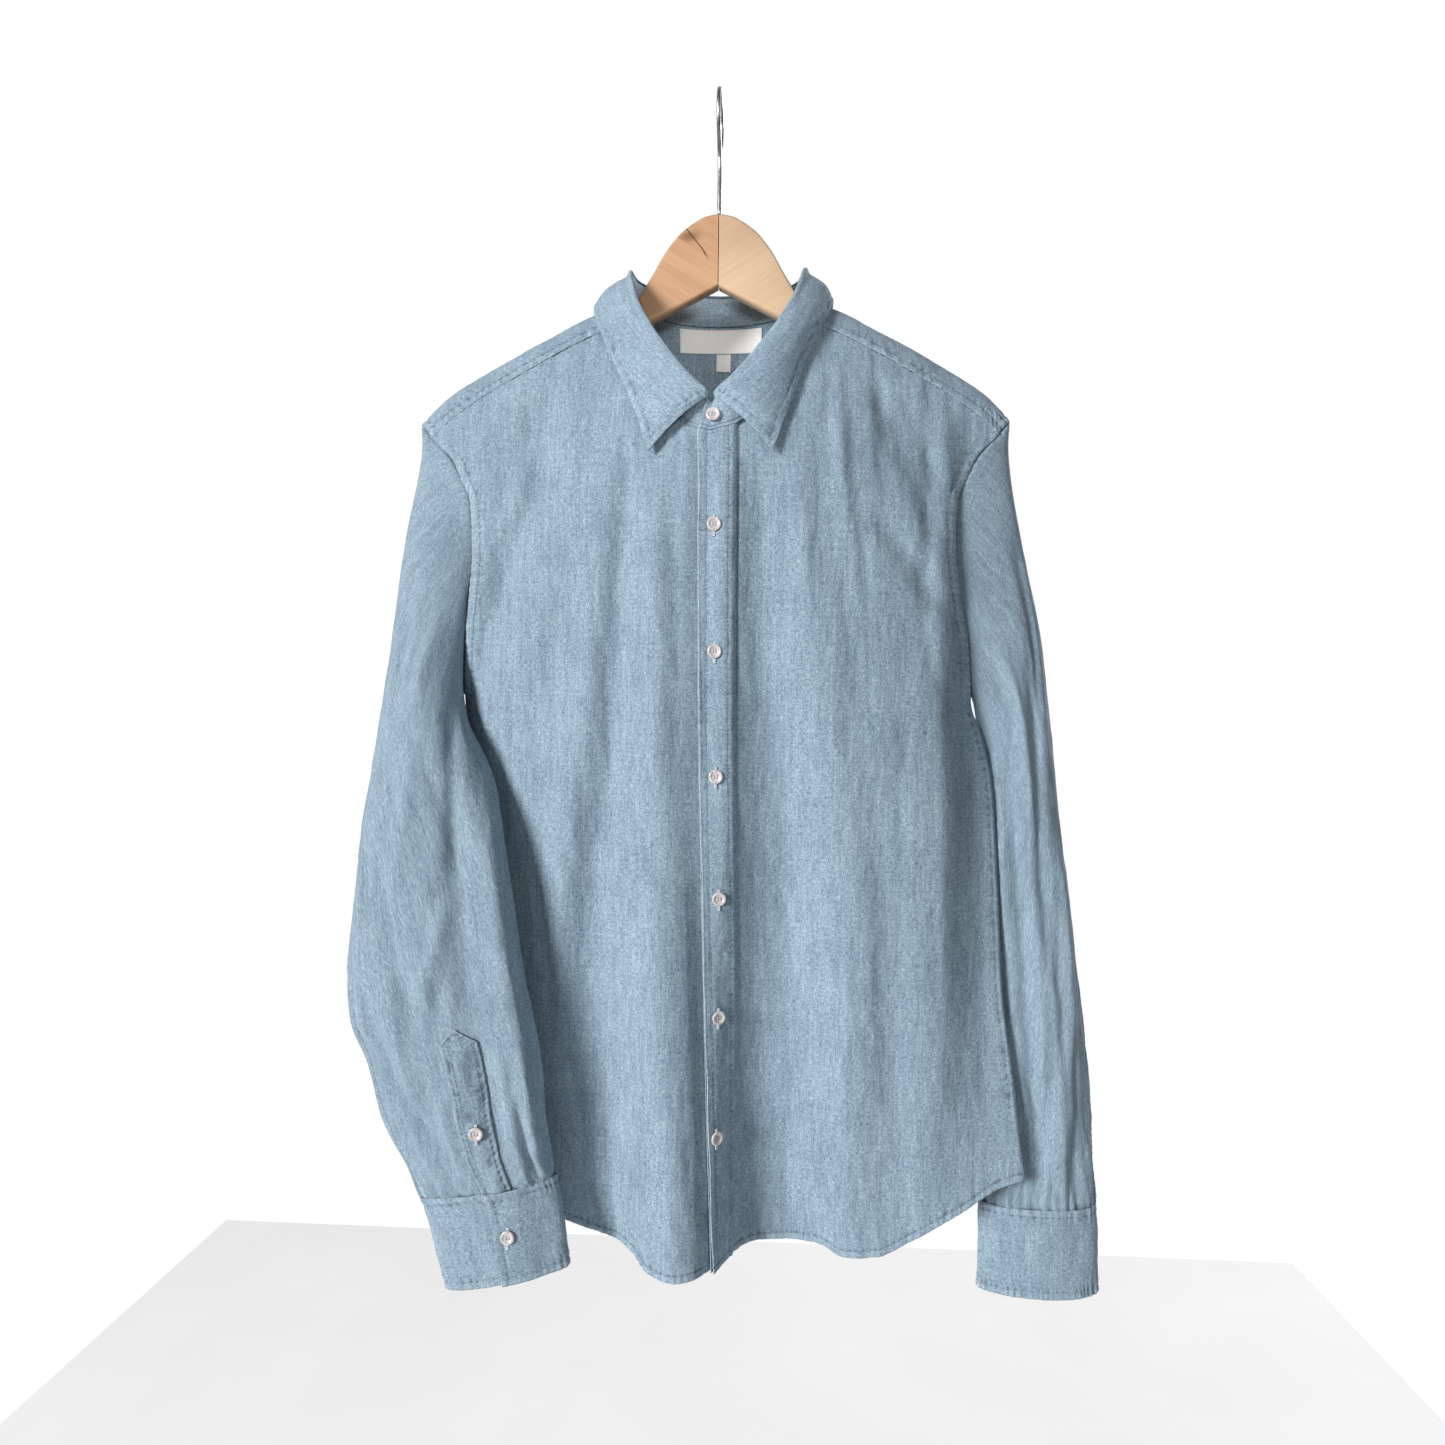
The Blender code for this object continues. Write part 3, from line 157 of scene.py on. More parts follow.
# the folded leaf's outer edge, across and below the ridge (negative in front),
# and how high it lies over the body
LEAF_ANGLE = (3, 15, 30, 45, 60, 75, 84, 89, 92, 94, 96, 99, 104, 112, 125, 150, 180)
LEAF_X = (41.5, 47.5, 54.5, 64, 75, 84, 89, 91, 91.8, 92, 91.8, 91, 89, 84, 70, 40, 0)
LEAF_BELOW = (-145, -126, -106, -79.5, -52, -27, -13, -5, -1.5, 0, 1.5, 4, 8, 13, 18, 25, 31)
LEAF_LIFT = (5, 4, 3, 2, 2, 2, 2, 2, 2, 2, 2, 2, 3, 4, 6, 7, 7)
LEAF_TUCK = 6.0            # the left leaf's edge sits this much further in

BUTTON_ROWS = (-337.5, -425, -512, -598, -683, -769)   # heights down the placket
BUTTON_X = (3.0, 4.0, 5.5, 8.0, 7.5, 6.5)
NECK_BUTTON = (2.0, -263.0)

LABEL = (-34.0, 33.0, -157.0, -176.0)      # left, right, top, bottom
SIZE_TAB = (-4.3, 7.3, -176.4, -191.0)

BACK_STEPS = (199.0, 194.5, 186.0, 173.0, 156.0, 136.0, 114.0, 91.0, 68.0, 45.0, 22.0, 0.0)
YOKE_SHOULDER = ((77.0, 212.0, -YOKE_FRONT), (81.0, 215.5, -14.0), (84.5, 219.0, -7.0),
                 (87.0, 221.0, -2.5), (88.7, 221.7, -0.8), (90.0, 222.0, 0.0), (91.3, 221.7, 0.8),
                 (93.5, 221.3, 2.5), (98.0, 219.7, 7.0), (103.0, 216.5, 15.0))
YOKE_START = 74.8          # angle at which the yoke's front edge leaves the neckline
YOKE_ARMHOLE = ((108.0, -272.0), (113.0, -285.0))
YOKE_BACK_ANGLES = (118.0, 121.0, 124.0, 128.0, 132.0, 137.0, 143.0, 150.0, 157.0, 164.0, 172.0, 180.0)
BAND_BULGE = 0.8           # how far the band is rounded outwards
BAND_UNDERLAP = 8.0        # degrees round the neck by which the right end runs under
SLEEVE_ROOM = 2.6          # least gap between a sleeve and the body beside it
SLEEVE_LAYERS = 3.4        # room for the sleeve's nearer layer under the farther one
OUT_SOONER = 14.0          # how much the way past the edge is preferred by the armpit
OUT_FADES_Z = {-1: (-482.0, -462.0), +1: (-560.0, -480.0)}   # none, and all of that
RELAX_ROUNDS = 4
RELAX_LAST = 1             # rounds of these in which nothing is pushed off the body
RELAX_END = 9              # rings from this one on keep their sections' shape
ARCH_X = (0, 10, 19.5, 27, 36, 42.5, 48, 54, 60)
ARCH_Z = (-91, -93, -98, -103.5, -113.5, -123, -133, -143, -153)
ARM_END = 208.0
UNDER_Z = -146.0
UNDER_SLOPE = 0.54


# ---- curves and steps ----
def curve(at, knots, values):
    """A smooth curve through the table's rows, flat at its highs and lows."""
    knots = np.asarray(knots, float)
    values = np.asarray(values, float)
    if knots[0] > knots[-1]:
        knots = knots[::-1]
        values = values[::-1]
    step = np.diff(knots)
    slope = np.diff(values) / step
    tangent = np.zeros_like(values)
    same_way = slope[:-1] * slope[1:] > 0
    weight = 2 * step[1:] + step[:-1]
    other = step[1:] + 2 * step[:-1]
    with np.errstate(divide="ignore", invalid="ignore"):
        mean = (weight + other) / (weight / slope[:-1] + other / slope[1:])
    tangent[1:-1] = np.where(same_way, mean, 0.0)
    tangent[0] = slope[0]
    tangent[-1] = slope[-1]
    at = np.clip(np.asarray(at, float), knots[0], knots[-1])
    k = np.clip(np.searchsorted(knots, at, side="right") - 1, 0, len(step) - 1)
    t = (at - knots[k]) / step[k]
    return ((2 * t**3 - 3 * t**2 + 1) * values[k] + (t**3 - 2 * t**2 + t) * step[k] * tangent[k]
            + (3 * t**2 - 2 * t**3) * values[k + 1] + (t**3 - t**2) * step[k] * tangent[k + 1])


def ease(t):
    """0 below 0, 1 above 1, and a smooth step between."""
    t = np.clip(t, 0.0, 1.0)
    return t * t * (3 - 2 * t)


def mix(a, b, t):
    """From a at t = 0 to b at t = 1."""
    return a + (b - a) * t


def bell(off, width):
    """1 where off is 0, falling smoothly on both sides over about that width."""
    return np.exp(-(off / width) ** 2)


def plateau(off, width):
    """The same with a flat top and a steeper fall."""
    return np.exp(-(off / width) ** 4)


def nearest(values, wanted):
    """Where the value closest to the wanted one stands."""
    return int(np.argmin(np.abs(values - wanted)))


def unit(vectors):
    """The same directions with length 1."""
    return vectors / np.maximum(np.linalg.norm(vectors, axis=-1, keepdims=True), 1e-9)


def settled(points):
    """Shift both shoulders to the shirt's right, less towards the neck and hem."""
    share = (points[..., 0] / SHOULDER_HALF) ** 2 * ease((points[..., 2] + 430) / 130)
    shift = np.zeros_like(points)
    shift[..., 0] = -SETTLE * np.minimum(share, 1.15)
    return points + shift


# ---- the body's surface, as in the solids ----
def ridge(x):
    """Height of the shoulders' ridge."""
    return curve(np.abs(x), RIDGE_X, RIDGE_Z)


def side_edge(x, z):
    """Half width of the body and forward place of its side seam at a height."""
    right = np.asarray(x) >= 0
    width = np.where(right, curve(z, SIDE_Z, SIDE_X[+1]), curve(z, SIDE_Z, SIDE_X[-1]))
    forward = np.where(right, curve(z, SIDE_Z, SIDE_Y[+1]), curve(z, SIDE_Z, SIDE_Y[-1]))
    return width, forward


def crease(x, z, x_top, z_top, x_low, z_low, depth, width):
    """A soft trough along a line, fading at both of its ends."""
    t = (z - z_top) / (z_low - z_top)
    fade = ease(t * 4) * ease((1 - t) * 3)
    return depth * fade * bell(x - mix(x_top, x_low, t), width)


def fall_from_ridge(x, z):
    """How far a face stands out just by its round fall from the ridge."""
    below = np.maximum(ridge(x) - z, 0.0)
    root = np.sqrt((below + FOLD_RADIUS) ** 2 - FOLD_RADIUS**2)
    return FOLD_RADIUS * root / np.sqrt(root**2 + FOLD_RADIUS**2)


def full_middle(x, z, reach, depths):
    """How far the middle stands out at a height, fading over its reach."""
    spread = np.clip(1 - (np.abs(x) / reach) ** 2, 0, 1)
    return curve(z, DEPTH_Z, depths) * spread ** curve(z, FULL_Z, FULLNESS)


def drawn_in(x, z, y):
    """A face's y, drawn in to the side seam close to the body's edge."""
    width, forward = side_edge(x, z)
    closing = np.clip(1 - np.minimum(np.abs(x) / width, 1) ** 8, 0, 1) ** 0.6
    return forward * (1 - closing) + closing * y


def front_y(x, z):
    """Forward place of the front's outer face: a round fall from the ridge, a
    full middle that fades to the sides, creases, and the hem's folds below."""
    y = -(fall_from_ridge(x, z) + full_middle(x, z, curve(z, SPREAD_Z, SPREAD), FRONT_DEPTH))
    for row in FRONT_CREASES:
        y = y + crease(x, z, *row)
    hem = np.array(FRONT_HEM)
    folded = curve(x, hem[:, 0], hem[:, 1])
    low = np.clip((HEM_FOLDS_START - z) / HEM_FOLDS_TALL, 0, 1) ** 2
    return drawn_in(x, z, mix(y, folded, low)) - SEAM / 2


def back_y(x, z):
    """Place of the back's outer face, made as the front's is."""
    reach = curve(z, SPREAD_Z, SPREAD) - 25 * ease((-440 - z) / 80)
    near_side = ease((np.abs(x) / side_edge(x, z)[0] - 0.72) / 0.25) * ease((-470 - z) / 90)
    y = fall_from_ridge(x, z) * (1 - 0.7 * near_side) + full_middle(x, z, reach, BACK_DEPTH)
    for across, deep, wide in BACK_FOLDS:
        y = y + deep * ease((-420 - z) / 430) * bell(x - across, wide)
    return drawn_in(x, z, y) + SEAM / 2


def body_point(x, below):
    """Point of the body's outer face, a signed distance below the ridge that is
    negative in front."""
    z = ridge(x) - np.abs(below)
    y = np.where(below < 0, front_y(x, z) + SEAM / 2, back_y(x, z) - SEAM / 2)
    return np.stack([x, np.where(np.abs(below) < 1e-6, 0.0, y), z], -1)


def body_normal(x, below):
    """Outward normal there, from the slopes across and over the ridge."""
    step = 0.5
    across = body_point(x + step, below) - body_point(x - step, below)
    over = body_point(x, below + step) - body_point(x, below - step)
    return unit(np.cross(across, over))


def neckline(angle):
    """Across and height of the neckline at an angle from the centre front."""
    return NECK_HALF * np.sin(np.radians(angle)), curve(np.abs(angle), NECK_ANGLE, NECK_Z)


def placket_x(z, offset):
    """Across, at a distance over the cloth from the overlap's left edge."""
    left = curve(z, OVERLAP_Z, OVERLAP_X)
    return left + offset * (curve(z, OVERLAP_Z, PLACKET_RIGHT) - left) / PLACKET_WIDTH


def front_hem(x):
    """Height of the front's lower edge."""
    hem = np.array(FRONT_HEM)
    return curve(x, hem[:, 0], hem[:, 2])


def back_hem(x):
    """Height of the back's lower edge: a rounded tail."""
    width = np.where(np.asarray(x) >= 0, SIDE_X[+1][0], SIDE_X[-1][0])
    return -880 + 78 * np.minimum(np.abs(x) / width, 1.0) ** 3.2


def panel_edge(z, side, armhole_x):
    """The armhole's edge and, below the armpit, the side seam."""
    armhole = curve(z, ARMHOLE_Z, armhole_x)
    seam = curve(z, SIDE_Z, SIDE_X[side])
    return np.where(z > ARMPIT_Z, armhole, seam)


def back_seam_z(x):
    """Height of the seam between the yoke and the back."""
    return YOKE_BACK_Z - YOKE_BACK_DROP * (np.abs(x) / YOKE_BACK_HALF) ** 1.5


def surface_normal(x, z):
    """Outward normal of the front at a point, from its slopes."""
    d = 2.0
    slope_x = (front_y(x + d, z) - front_y(x - d, z)) / (2 * d)
    slope_z = (front_y(x, z + d) - front_y(x, z - d)) / (2 * d)
    return unit(np.array((float(slope_x), -1.0, float(slope_z))))


# ---- collar lines ----
def neck_edge(angle):
    """The neckline as points, at signed angles from the centre front."""
    x, z = neckline(angle)
    y = np.where(np.abs(angle) < 90, front_y(x, z) + SEAM / 2, back_y(x, z) - SEAM / 2)
    return np.stack([x, np.where(np.isclose(np.abs(angle), 90), 0.0, y), z], -1)


def fold_line(angle):
    """Where the collar folds over: 30 from the neckline, measured on the band."""
    turn = np.abs(angle)
    x = np.sign(angle) * curve(turn, FOLD_ANGLE, FOLD_X)
    return np.stack([x, curve(turn, FOLD_ANGLE, FOLD_Y), curve(turn, FOLD_ANGLE, FOLD_Z)], -1)


def outward_at(angle):
    """Level direction away from the neck at an angle from the centre front."""
    turn = np.radians(angle)
    return np.stack([np.sin(turn), -np.cos(turn), 0 * turn], -1)


def band_lift(angle):
    """How far the band's left end stands off, to lie over the right one."""
    return (CLOTH + LAYER + 0.6) * ease((36 - angle) / 18) * ease((angle + 22) / 12)


# ---- sleeve rings ----
def sleeve_section(angle, z, side):
    """Point of a level section: an ellipse between the sleeve's two edges."""
    table = np.array(SLEEVE[side], float)
    heights = table[:, 0]
    outer = curve(z, heights, table[:, 1])
    inner = curve(z, heights, table[:, 2])
    centre = curve(z, heights, table[:, 3])
    deep = curve(z, heights, table[:, 4])
    turn = np.radians(angle)
    x = (outer + inner) / 2 + (outer - inner) / 2 * np.cos(turn)
    y = centre - deep * np.sin(turn)
    return side * x, y


def armhole_edge(angle, side):
    """The armhole's edge, from 0 at the shoulder tip over 90 in front to 180 at
    the armpit, and the body's outward direction there."""
    top = float(ridge(SHOULDER_HALF))
    z = (top + ARMPIT_Z) / 2 + (top - ARMPIT_Z) / 2 * np.cos(np.radians(angle))
    front = (angle % 360) < 180
    x = side * np.where(front, curve(z, ARMHOLE_Z, ARMHOLE_FRONT), curve(z, ARMHOLE_Z, ARMHOLE_BACK))
    tip = np.isclose(angle % 360, 0)
    y = np.where(tip, 0.0, np.where(front, front_y(x, z), back_y(x, z)))
    step = 0.4
    inner = x - side * step
    ahead = np.stack([front_y(inner, z) - front_y(inner - side * step, z),
                      np.full(len(z), -step), front_y(inner, z) - front_y(inner, z - step)], -1)
    behind = np.stack([back_y(inner - side * step, z) - back_y(inner, z),
                       np.full(len(z), step), back_y(inner, z - step) - back_y(inner, z)], -1)
    ahead[:, 0] *= side
    behind[:, 0] *= side
    ahead = unit(ahead)
    behind = unit(behind)
    end = tip | np.isclose(angle % 360, 180)
    out = np.where(end[:, None], unit(ahead + behind), np.where(front[:, None], ahead, behind))
    return np.stack([x, y, z], -1), out


def clear_of_body(grid, side, angles):
    """Keep a sleeve off the body: each point inside it moves the shorter way,
    past the panel's edge or in front of the body (behind it on the left).
    Near the armpit the way past the edge is taken sooner.  The sleeve's layer
    that is farther from the body keeps more room, for the nearer one."""
    x = grid[..., 0]
    y = grid[..., 1]
    z = grid[..., 2]
    middle = side_edge(x, z)[1]
    width = np.where(y < middle, panel_edge(z, side, ARMHOLE_FRONT), panel_edge(z, side, ARMHOLE_BACK))
    room = mix(1.2, SLEEVE_ROOM, ease((-380 - z) / 90))
    farther = np.sqrt(np.maximum(-side * np.sin(np.radians(angles)), 0))[:, None]
    past = room + SLEEVE_LAYERS * farther * ease((-425 - z) / 30)
    if side < 0:
        sideways = y - (front_y(x, z) - past)
    else:
        sideways = (back_y(x, z) + past) - y
    outward = width + room - np.abs(x)
    none, full = OUT_FADES_Z[side]
    sooner = OUT_SOONER * ease((z - none) / (full - none))
    inside = (sideways > 0) & (outward > 0)
    go_out = inside & (outward - sooner < sideways)
    go_past = inside & ~go_out
    x = np.where(go_out, side * (width + room), x)
    y = np.where(go_past, y + side * sideways, y)
    return np.stack([x, y, z], -1)


def relaxed(grid, side, angles):
    """Even the sleeve's upper rings out between the armhole and the sections."""
    for left in range(RELAX_ROUNDS, 0, -1):
        around = (np.roll(grid, 1, 0) + np.roll(grid, -1, 0)) / 2
        even = grid.copy()
        even[:, 1:-1] = (around[:, 1:-1] + (grid[:, :-2] + grid[:, 2:]) / 2) / 2
        share = 0.6 * ease((RELAX_END - np.arange(grid.shape[1])) / 4)
        moved = mix(grid, even, share[:, None])
        moved[:, 0] = grid[:, 0]
        if left > RELAX_LAST:
            moved[:, 1:] = clear_of_body(moved[:, 1:], side, angles)
        grid = moved
    return grid


def sleeve_angles(side):
    """Angles of the sleeve's lengthwise lines, with the sleeve placket's."""
    plain = [0, 12, 24, 37, 51, 65, 78, 124, 139, 156, 180, 204, 221, 236]
    if side < 0:
        plain += [254, 272, 290, 308, 323, 336, 348]
    else:
        plain = [a for a in plain if a < 79] + [94, 109] + [a for a in plain if a > 79]
        plain += [287, 300, 314, 325, 336, 348]
    return np.array(sorted(plain + list(GAUNTLET_ANGLES[side])), float)


def sleeve_grid(side):
    """Rings from the armhole to the cuff: the first is the armhole's edge, and
    the later ones swing level and take the shape of the sleeve's sections."""
    angles = sleeve_angles(side)
    steps = np.array((0, 0.027, 0.055, 0.085, 0.12, 0.16, 0.21, 0.27, 0.34, 0.42, 0.5, 0.58, 0.66,
                      0.73, 0.79, 0.85, 0.9, 0.95, 1.0))
    top = float(ridge(SHOULDER_HALF))
    middle = mix((top + ARMPIT_Z) / 2, SLEEVE_END_Z[side], steps)
    tilt = (top - ARMPIT_Z) / 2 * (1 - ease(steps / 0.45)) + SLEEVE_END_TILT[side] * ease((steps - 0.5) * 2)
    edge, out = armhole_edge(angles, side)
    grid = np.zeros((len(angles), len(steps), 3))
    for j in range(len(steps)):
        z = middle[j] + tilt[j] * np.cos(np.radians(angles))
        x, y = sleeve_section(angles, z, side)
        blend = ease((steps[j] + 0.04) / 0.26) * (j > 0)
        grid[:, j, 0] = mix(edge[:, 0], x, blend)
        grid[:, j, 1] = mix(edge[:, 1], y, blend)
        grid[:, j, 2] = z
    round_edge = np.roll(edge, -1, 0) - np.roll(edge, 1, 0)
    away = unit(np.cross(round_edge, out))
    away *= np.sign(np.sum(away * np.array((side, 0, -0.8)), -1))[:, None]
    armpit = ease((-np.cos(np.radians(angles)) - 0.88) / 0.1)[:, None]
    away = unit(mix(away, np.array((side * 1.0, 0, 0)), armpit))
    out = unit(mix(out, np.array((side * 0.15, 0, -1.0)), armpit))
    curved = bell(angles - 62, 24)
    grid[:, 0] = edge + away * (SEAM + 0.5 + 0.7 * curved)[:, None]
    grid[:, 1:] = clear_of_body(grid[:, 1:], side, angles)
    return angles, relaxed(grid, side, angles), out


# ---- wood outline ----
def wood_top(x):
    """Upper outline: an arch in the neck, then just under the cloth's ridge."""
    slope = (ridge(x + 1.0) - ridge(x - 1.0)) / 2
    under_cloth = ridge(x) - (CLOTH + LAYER + 0.1) * np.sqrt(1 + slope**2) - 0.8 * ease((x - 140) / 40)
    return np.where(x < 60, curve(x, ARCH_X, ARCH_Z), under_cloth)


# ---- grids -------------------------------------------------------------------
def between(lines, knots, at):
    """A cubic curve through rows of points, one row at each knot.  A row's slope
    is the mean of the slopes to its two neighbours, weighted by their gaps."""
    lines = np.asarray(lines, float)
    knots = np.asarray(knots, float)
    spread = (-1,) + (1,) * (lines.ndim - 1)
    gap = np.diff(knots).reshape(spread)
    rate = np.diff(lines, axis=0) / gap
    slope = np.empty_like(lines)
    slope[0] = rate[0]
    slope[-1] = rate[-1]
    slope[1:-1] = (rate[:-1] * gap[1:] + rate[1:] * gap[:-1]) / (gap[1:] + gap[:-1])
    k = np.clip(np.searchsorted(knots, at, side="right") - 1, 0, len(knots) - 2)
    t = ((at - knots[k]) / (knots[k + 1] - knots[k])).reshape(spread)
    return ((2 * t**3 - 3 * t**2 + 1) * lines[k] + (t**3 - 2 * t**2 + t) * gap[k] * slope[k]
            + (3 * t**2 - 2 * t**3) * lines[k + 1] + (t**3 - t**2) * gap[k] * slope[k + 1])


def normals_of(grid, outward, ring=False):
    """Unit normals from the grid's two slopes, on the side `outward` points to."""
    if ring:
        along = np.roll(grid, -1, 0) - np.roll(grid, 1, 0)
    else:
        along = np.gradient(grid, axis=0)
    normal = unit(np.cross(along, np.gradient(grid, axis=1)))
    if np.mean(np.sum(normal * outward, -1)) < 0:
        normal = -normal
    return normal


def run(grid, axis):
    """Length over the cloth from the grid's first line, along one axis."""
    steps = np.linalg.norm(np.diff(grid, axis=axis), axis=-1)
    first = np.zeros_like(np.take(steps, [0], axis=axis))
    return np.concatenate([first, np.cumsum(steps, axis=axis)], axis=axis)


def spaced(length, first, count, last):
    """Distances from an edge: fixed ones near both ends and even ones between."""
    length = np.atleast_1d(np.asarray(length, float))[:, None]
    first = np.asarray(first, float)
    last = np.asarray(last, float)[::-1]
    t = np.linspace(0, 1, count + 2)[1:-1]
    middle = first[-1] + t * (length - first[-1] - last[0])
    return np.concatenate([first + 0 * length, middle, length - last], 1)


def beyond(grid, normals, wear_and_shade, deep=1.0, reach=2.6):
    """A row added before the first one, which runs on under the next piece."""
    away = unit(grid[:, 0] - grid[:, 1])
    extra = grid[:, 0] + away * reach - normals[:, 0] * deep
    return (np.concatenate([extra[:, None], grid], 1), np.concatenate([normals[:, :1], normals], 1),
            np.concatenate([wear_and_shade[:, :1], wear_and_shade], 1))


# ---- folds, puckers and seams ---------------------------------------------------
def wander(s, length, seed):
    """A smooth random curve between -1 and 1 that turns about once per length."""
    knots = np.random.RandomState(seed).uniform(-1, 1, 4096)
    at = np.asarray(s, float) / length + 2000
    k = np.floor(at).astype(int)
    t = ease(at - k)
    return mix(knots[k % 4096], knots[(k + 1) % 4096], t)


def rumple(u, v, wide, tall, seed):
    """A smooth random surface between -1 and 1 with hills of that size: random
    heights at the corners of a net, joined by smooth steps both ways."""
    net = np.random.RandomState(seed).uniform(-1, 1, (256, 256))
    a = np.asarray(u, float) / wide + 120
    b = np.asarray(v, float) / tall + 120
    i = np.floor(a).astype(int)
    j = np.floor(b).astype(int)
    s = ease(a - i)
    t = ease(b - j)
    low = mix(net[i % 256, j % 256], net[(i + 1) % 256, j % 256], s)
    high = mix(net[i % 256, (j + 1) % 256], net[(i + 1) % 256, (j + 1) % 256], s)
    return mix(low, high, t)


def puckers(s, period, seed):
    """Uneven ripples along a seam: a sine whose phase and height both wander."""
    phase = s / period + 0.9 * wander(s, period * 2.5, seed)
    height = 0.62 + 0.38 * wander(s, period * 3.1, seed + 1)
    wave = np.sin(2 * math.pi * phase)
    return height * np.sign(wave) * np.abs(wave) ** 0.8 + 0.4 * wander(s, period * 0.5, seed + 2)


def seam(d, s, seed, margin=5.5, roll=0.4, pull=0.35, period=3.6, reach=4.0):
    """Height beside a stitched edge.  d is the distance from the edge, s runs
    along it: a rounded ridge up to the stitches, a groove at the stitches, and
    puckers that are strongest there and fade over `reach` on the far side."""
    ridge_part = roll * plateau(d - 0.45 * margin, 0.5 * margin)
    groove = -0.5 * bell(d - margin, 0.75)
    fade = np.where(d < margin, 0.75 + 0.25 * np.sin(math.pi * np.clip(d / margin, 0, 1)),
                    bell(d - margin, reach))
    return ridge_part + groove + 1.35 * pull * fade * puckers(s, period, seed)


def rub_and_groove_shade(height, d, rim=0.9):
    """How abraded a seam is and where shade is painted on it, from its height and the distance
    from its edge: paler on its ridges and at its rim from abrasion, darker in its grooves as painted shade."""
    return np.clip(height * 1.6, -1, 1) + 0.3 * bell(d, rim)


# ---- meshes ------------------------------------------------------------------------
def add_object(name, vertices, faces, material, corner_uv=None, wear_and_shade=None):
    """A mesh object from arrays, in metres, with its place in its mesh."""
    mesh = bpy.data.meshes.new(name)
    mesh.from_pydata((np.asarray(vertices, float) * MM).tolist(), [], faces)
    mesh.polygons.foreach_set("use_smooth", [True] * len(mesh.polygons))
    if corner_uv is not None:
        layer = mesh.uv_layers.new(name="cloth")
        layer.data.foreach_set("uv", np.asarray(corner_uv, np.float32).ravel())
    # per point: abrasion that makes seam ridges paler, and painted shade that makes their grooves darker
    if wear_and_shade is not None:
        layer = mesh.attributes.new("wear_and_shade", "FLOAT", "POINT")
        layer.data.foreach_set("value", np.asarray(wear_and_shade, np.float32).ravel())
    mesh.materials.append(material)
    mesh.update()
    thing = bpy.data.objects.new(name, mesh)
    bpy.context.scene.collection.objects.link(thing)
    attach(thing, "root")
    return thing


def wall_faces(columns, rows, ring):
    """Faces of a closed wall over a grid, and the place on the flat map of each of
    their corners.  The map has one more column than a ring's points.  The strips
    that join both sides run along the first and last row, and then the columns."""
    size = columns * rows
    across = np.arange(columns if ring else columns - 1) * rows
    down = np.arange(rows - 1)
    first = (across[:, None] + down).ravel()
    sheet = np.stack([first, first + rows, first + rows + 1, first + 1], 1)
    parts = [(sheet, (0, 0, 0, 0)), (sheet[:, ::-1], (1, 1, 1, 1))]
    rims = [(across + rows, across, 1), (across + 2 * rows - 1, across + rows - 1, -1)]
    if not ring:
        rims += [(down, down + 1, 1), (size - rows + down, size - rows + down + 1, -1)]
    for one, two, way in rims:
        parts.append((np.stack([one, two, two, one], 1)[:, ::way], (0, 0, 1, 1)[::way]))
    places = np.concatenate([place for place, inner in parts])
    return np.concatenate([place % size + size * np.array(inner) for place, inner in parts]), places


def add_cloth(name, grid, normals, thick, material, ring=False, wear_and_shade=None, lengthwise=False,
              nodes=(), straight=False):
    """A thin wall of cloth: the grid is its outer face and the inner one lies
    `thick` under it.  Near its rims the wall thins to a rounded edge.  The map is
    the length over the cloth both ways, in metres, with the warp along v; for a
    straight piece it is the plain distance across and down, and also forward or
    back where the piece is lengthwise too."""
    columns, rows = grid.shape[:2]
    closed = np.concatenate([grid, grid[:1]], 0) if ring else grid
    u = run(closed, 0)
    v = run(closed, 1)
    u = u - u[u.shape[0] // 2] + u[u.shape[0] // 2].mean()
    edge = np.minimum(v[:columns], v[:columns, -1:] - v[:columns])
    if not ring:
        edge = np.minimum(edge, np.minimum(u - u[:1], u[-1:] - u))
    share = np.clip(edge / (0.5 * thick), 0, 1)
    wall = 0.25 + 0.75 * np.sqrt(1 - (1 - share) ** 2)
    outer, inner = (grid - normals * (thick * (1 + way * wall) / 2)[..., None] for way in (-1, 1))
    points = settled(np.concatenate([outer.reshape(-1, 3), inner.reshape(-1, 3)]))
    faces, places = wall_faces(columns, rows, ring)
    along = np.gradient(closed, axis=0)[:columns]
    if np.mean(np.sum(np.cross(along, np.gradient(grid, axis=1)) * normals, -1)) < 0:
        faces, places = faces[:, ::-1], places[:, ::-1]
    flat_map = np.stack([v, u] if lengthwise else [u, v], -1)
    if straight:
        flat_map = np.stack([grid[..., 0], lengthwise * np.abs(grid[..., 1]) - grid[..., 2]], -1)
    wear_and_shade_per_point = np.zeros(columns * rows) if wear_and_shade is None else wear_and_shade.ravel()
    thing = add_object(name, points, faces.tolist(), material, (flat_map.reshape(-1, 2) * MM)[places.ravel()],
                       np.concatenate([wear_and_shade_per_point, wear_and_shade_per_point * 0.3]))
    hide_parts(*nodes)


STITCH_RINGS = 5
STITCH_SIDES = 6
thread_seam = []      # points of every row of stitches, made one piece at the end


def wrapped(rings, sides, ring=False):
    """Faces round a chain of rings with so many sides.  The chain is closed by a
    face at each end, unless it is a ring itself."""
    k = np.arange(rings if ring else rings - 1)[:, None] * sides
    i = np.arange(sides)
    n = (i + 1) % sides
    ahead = (k + sides) % (rings * sides)
    quads = np.stack([k + i, k + n, ahead + n, ahead + i], -1).reshape(-1, 4).tolist()
    return quads if ring else quads + [i[::-1].tolist(), (i + (rings - 1) * sides).tolist()]


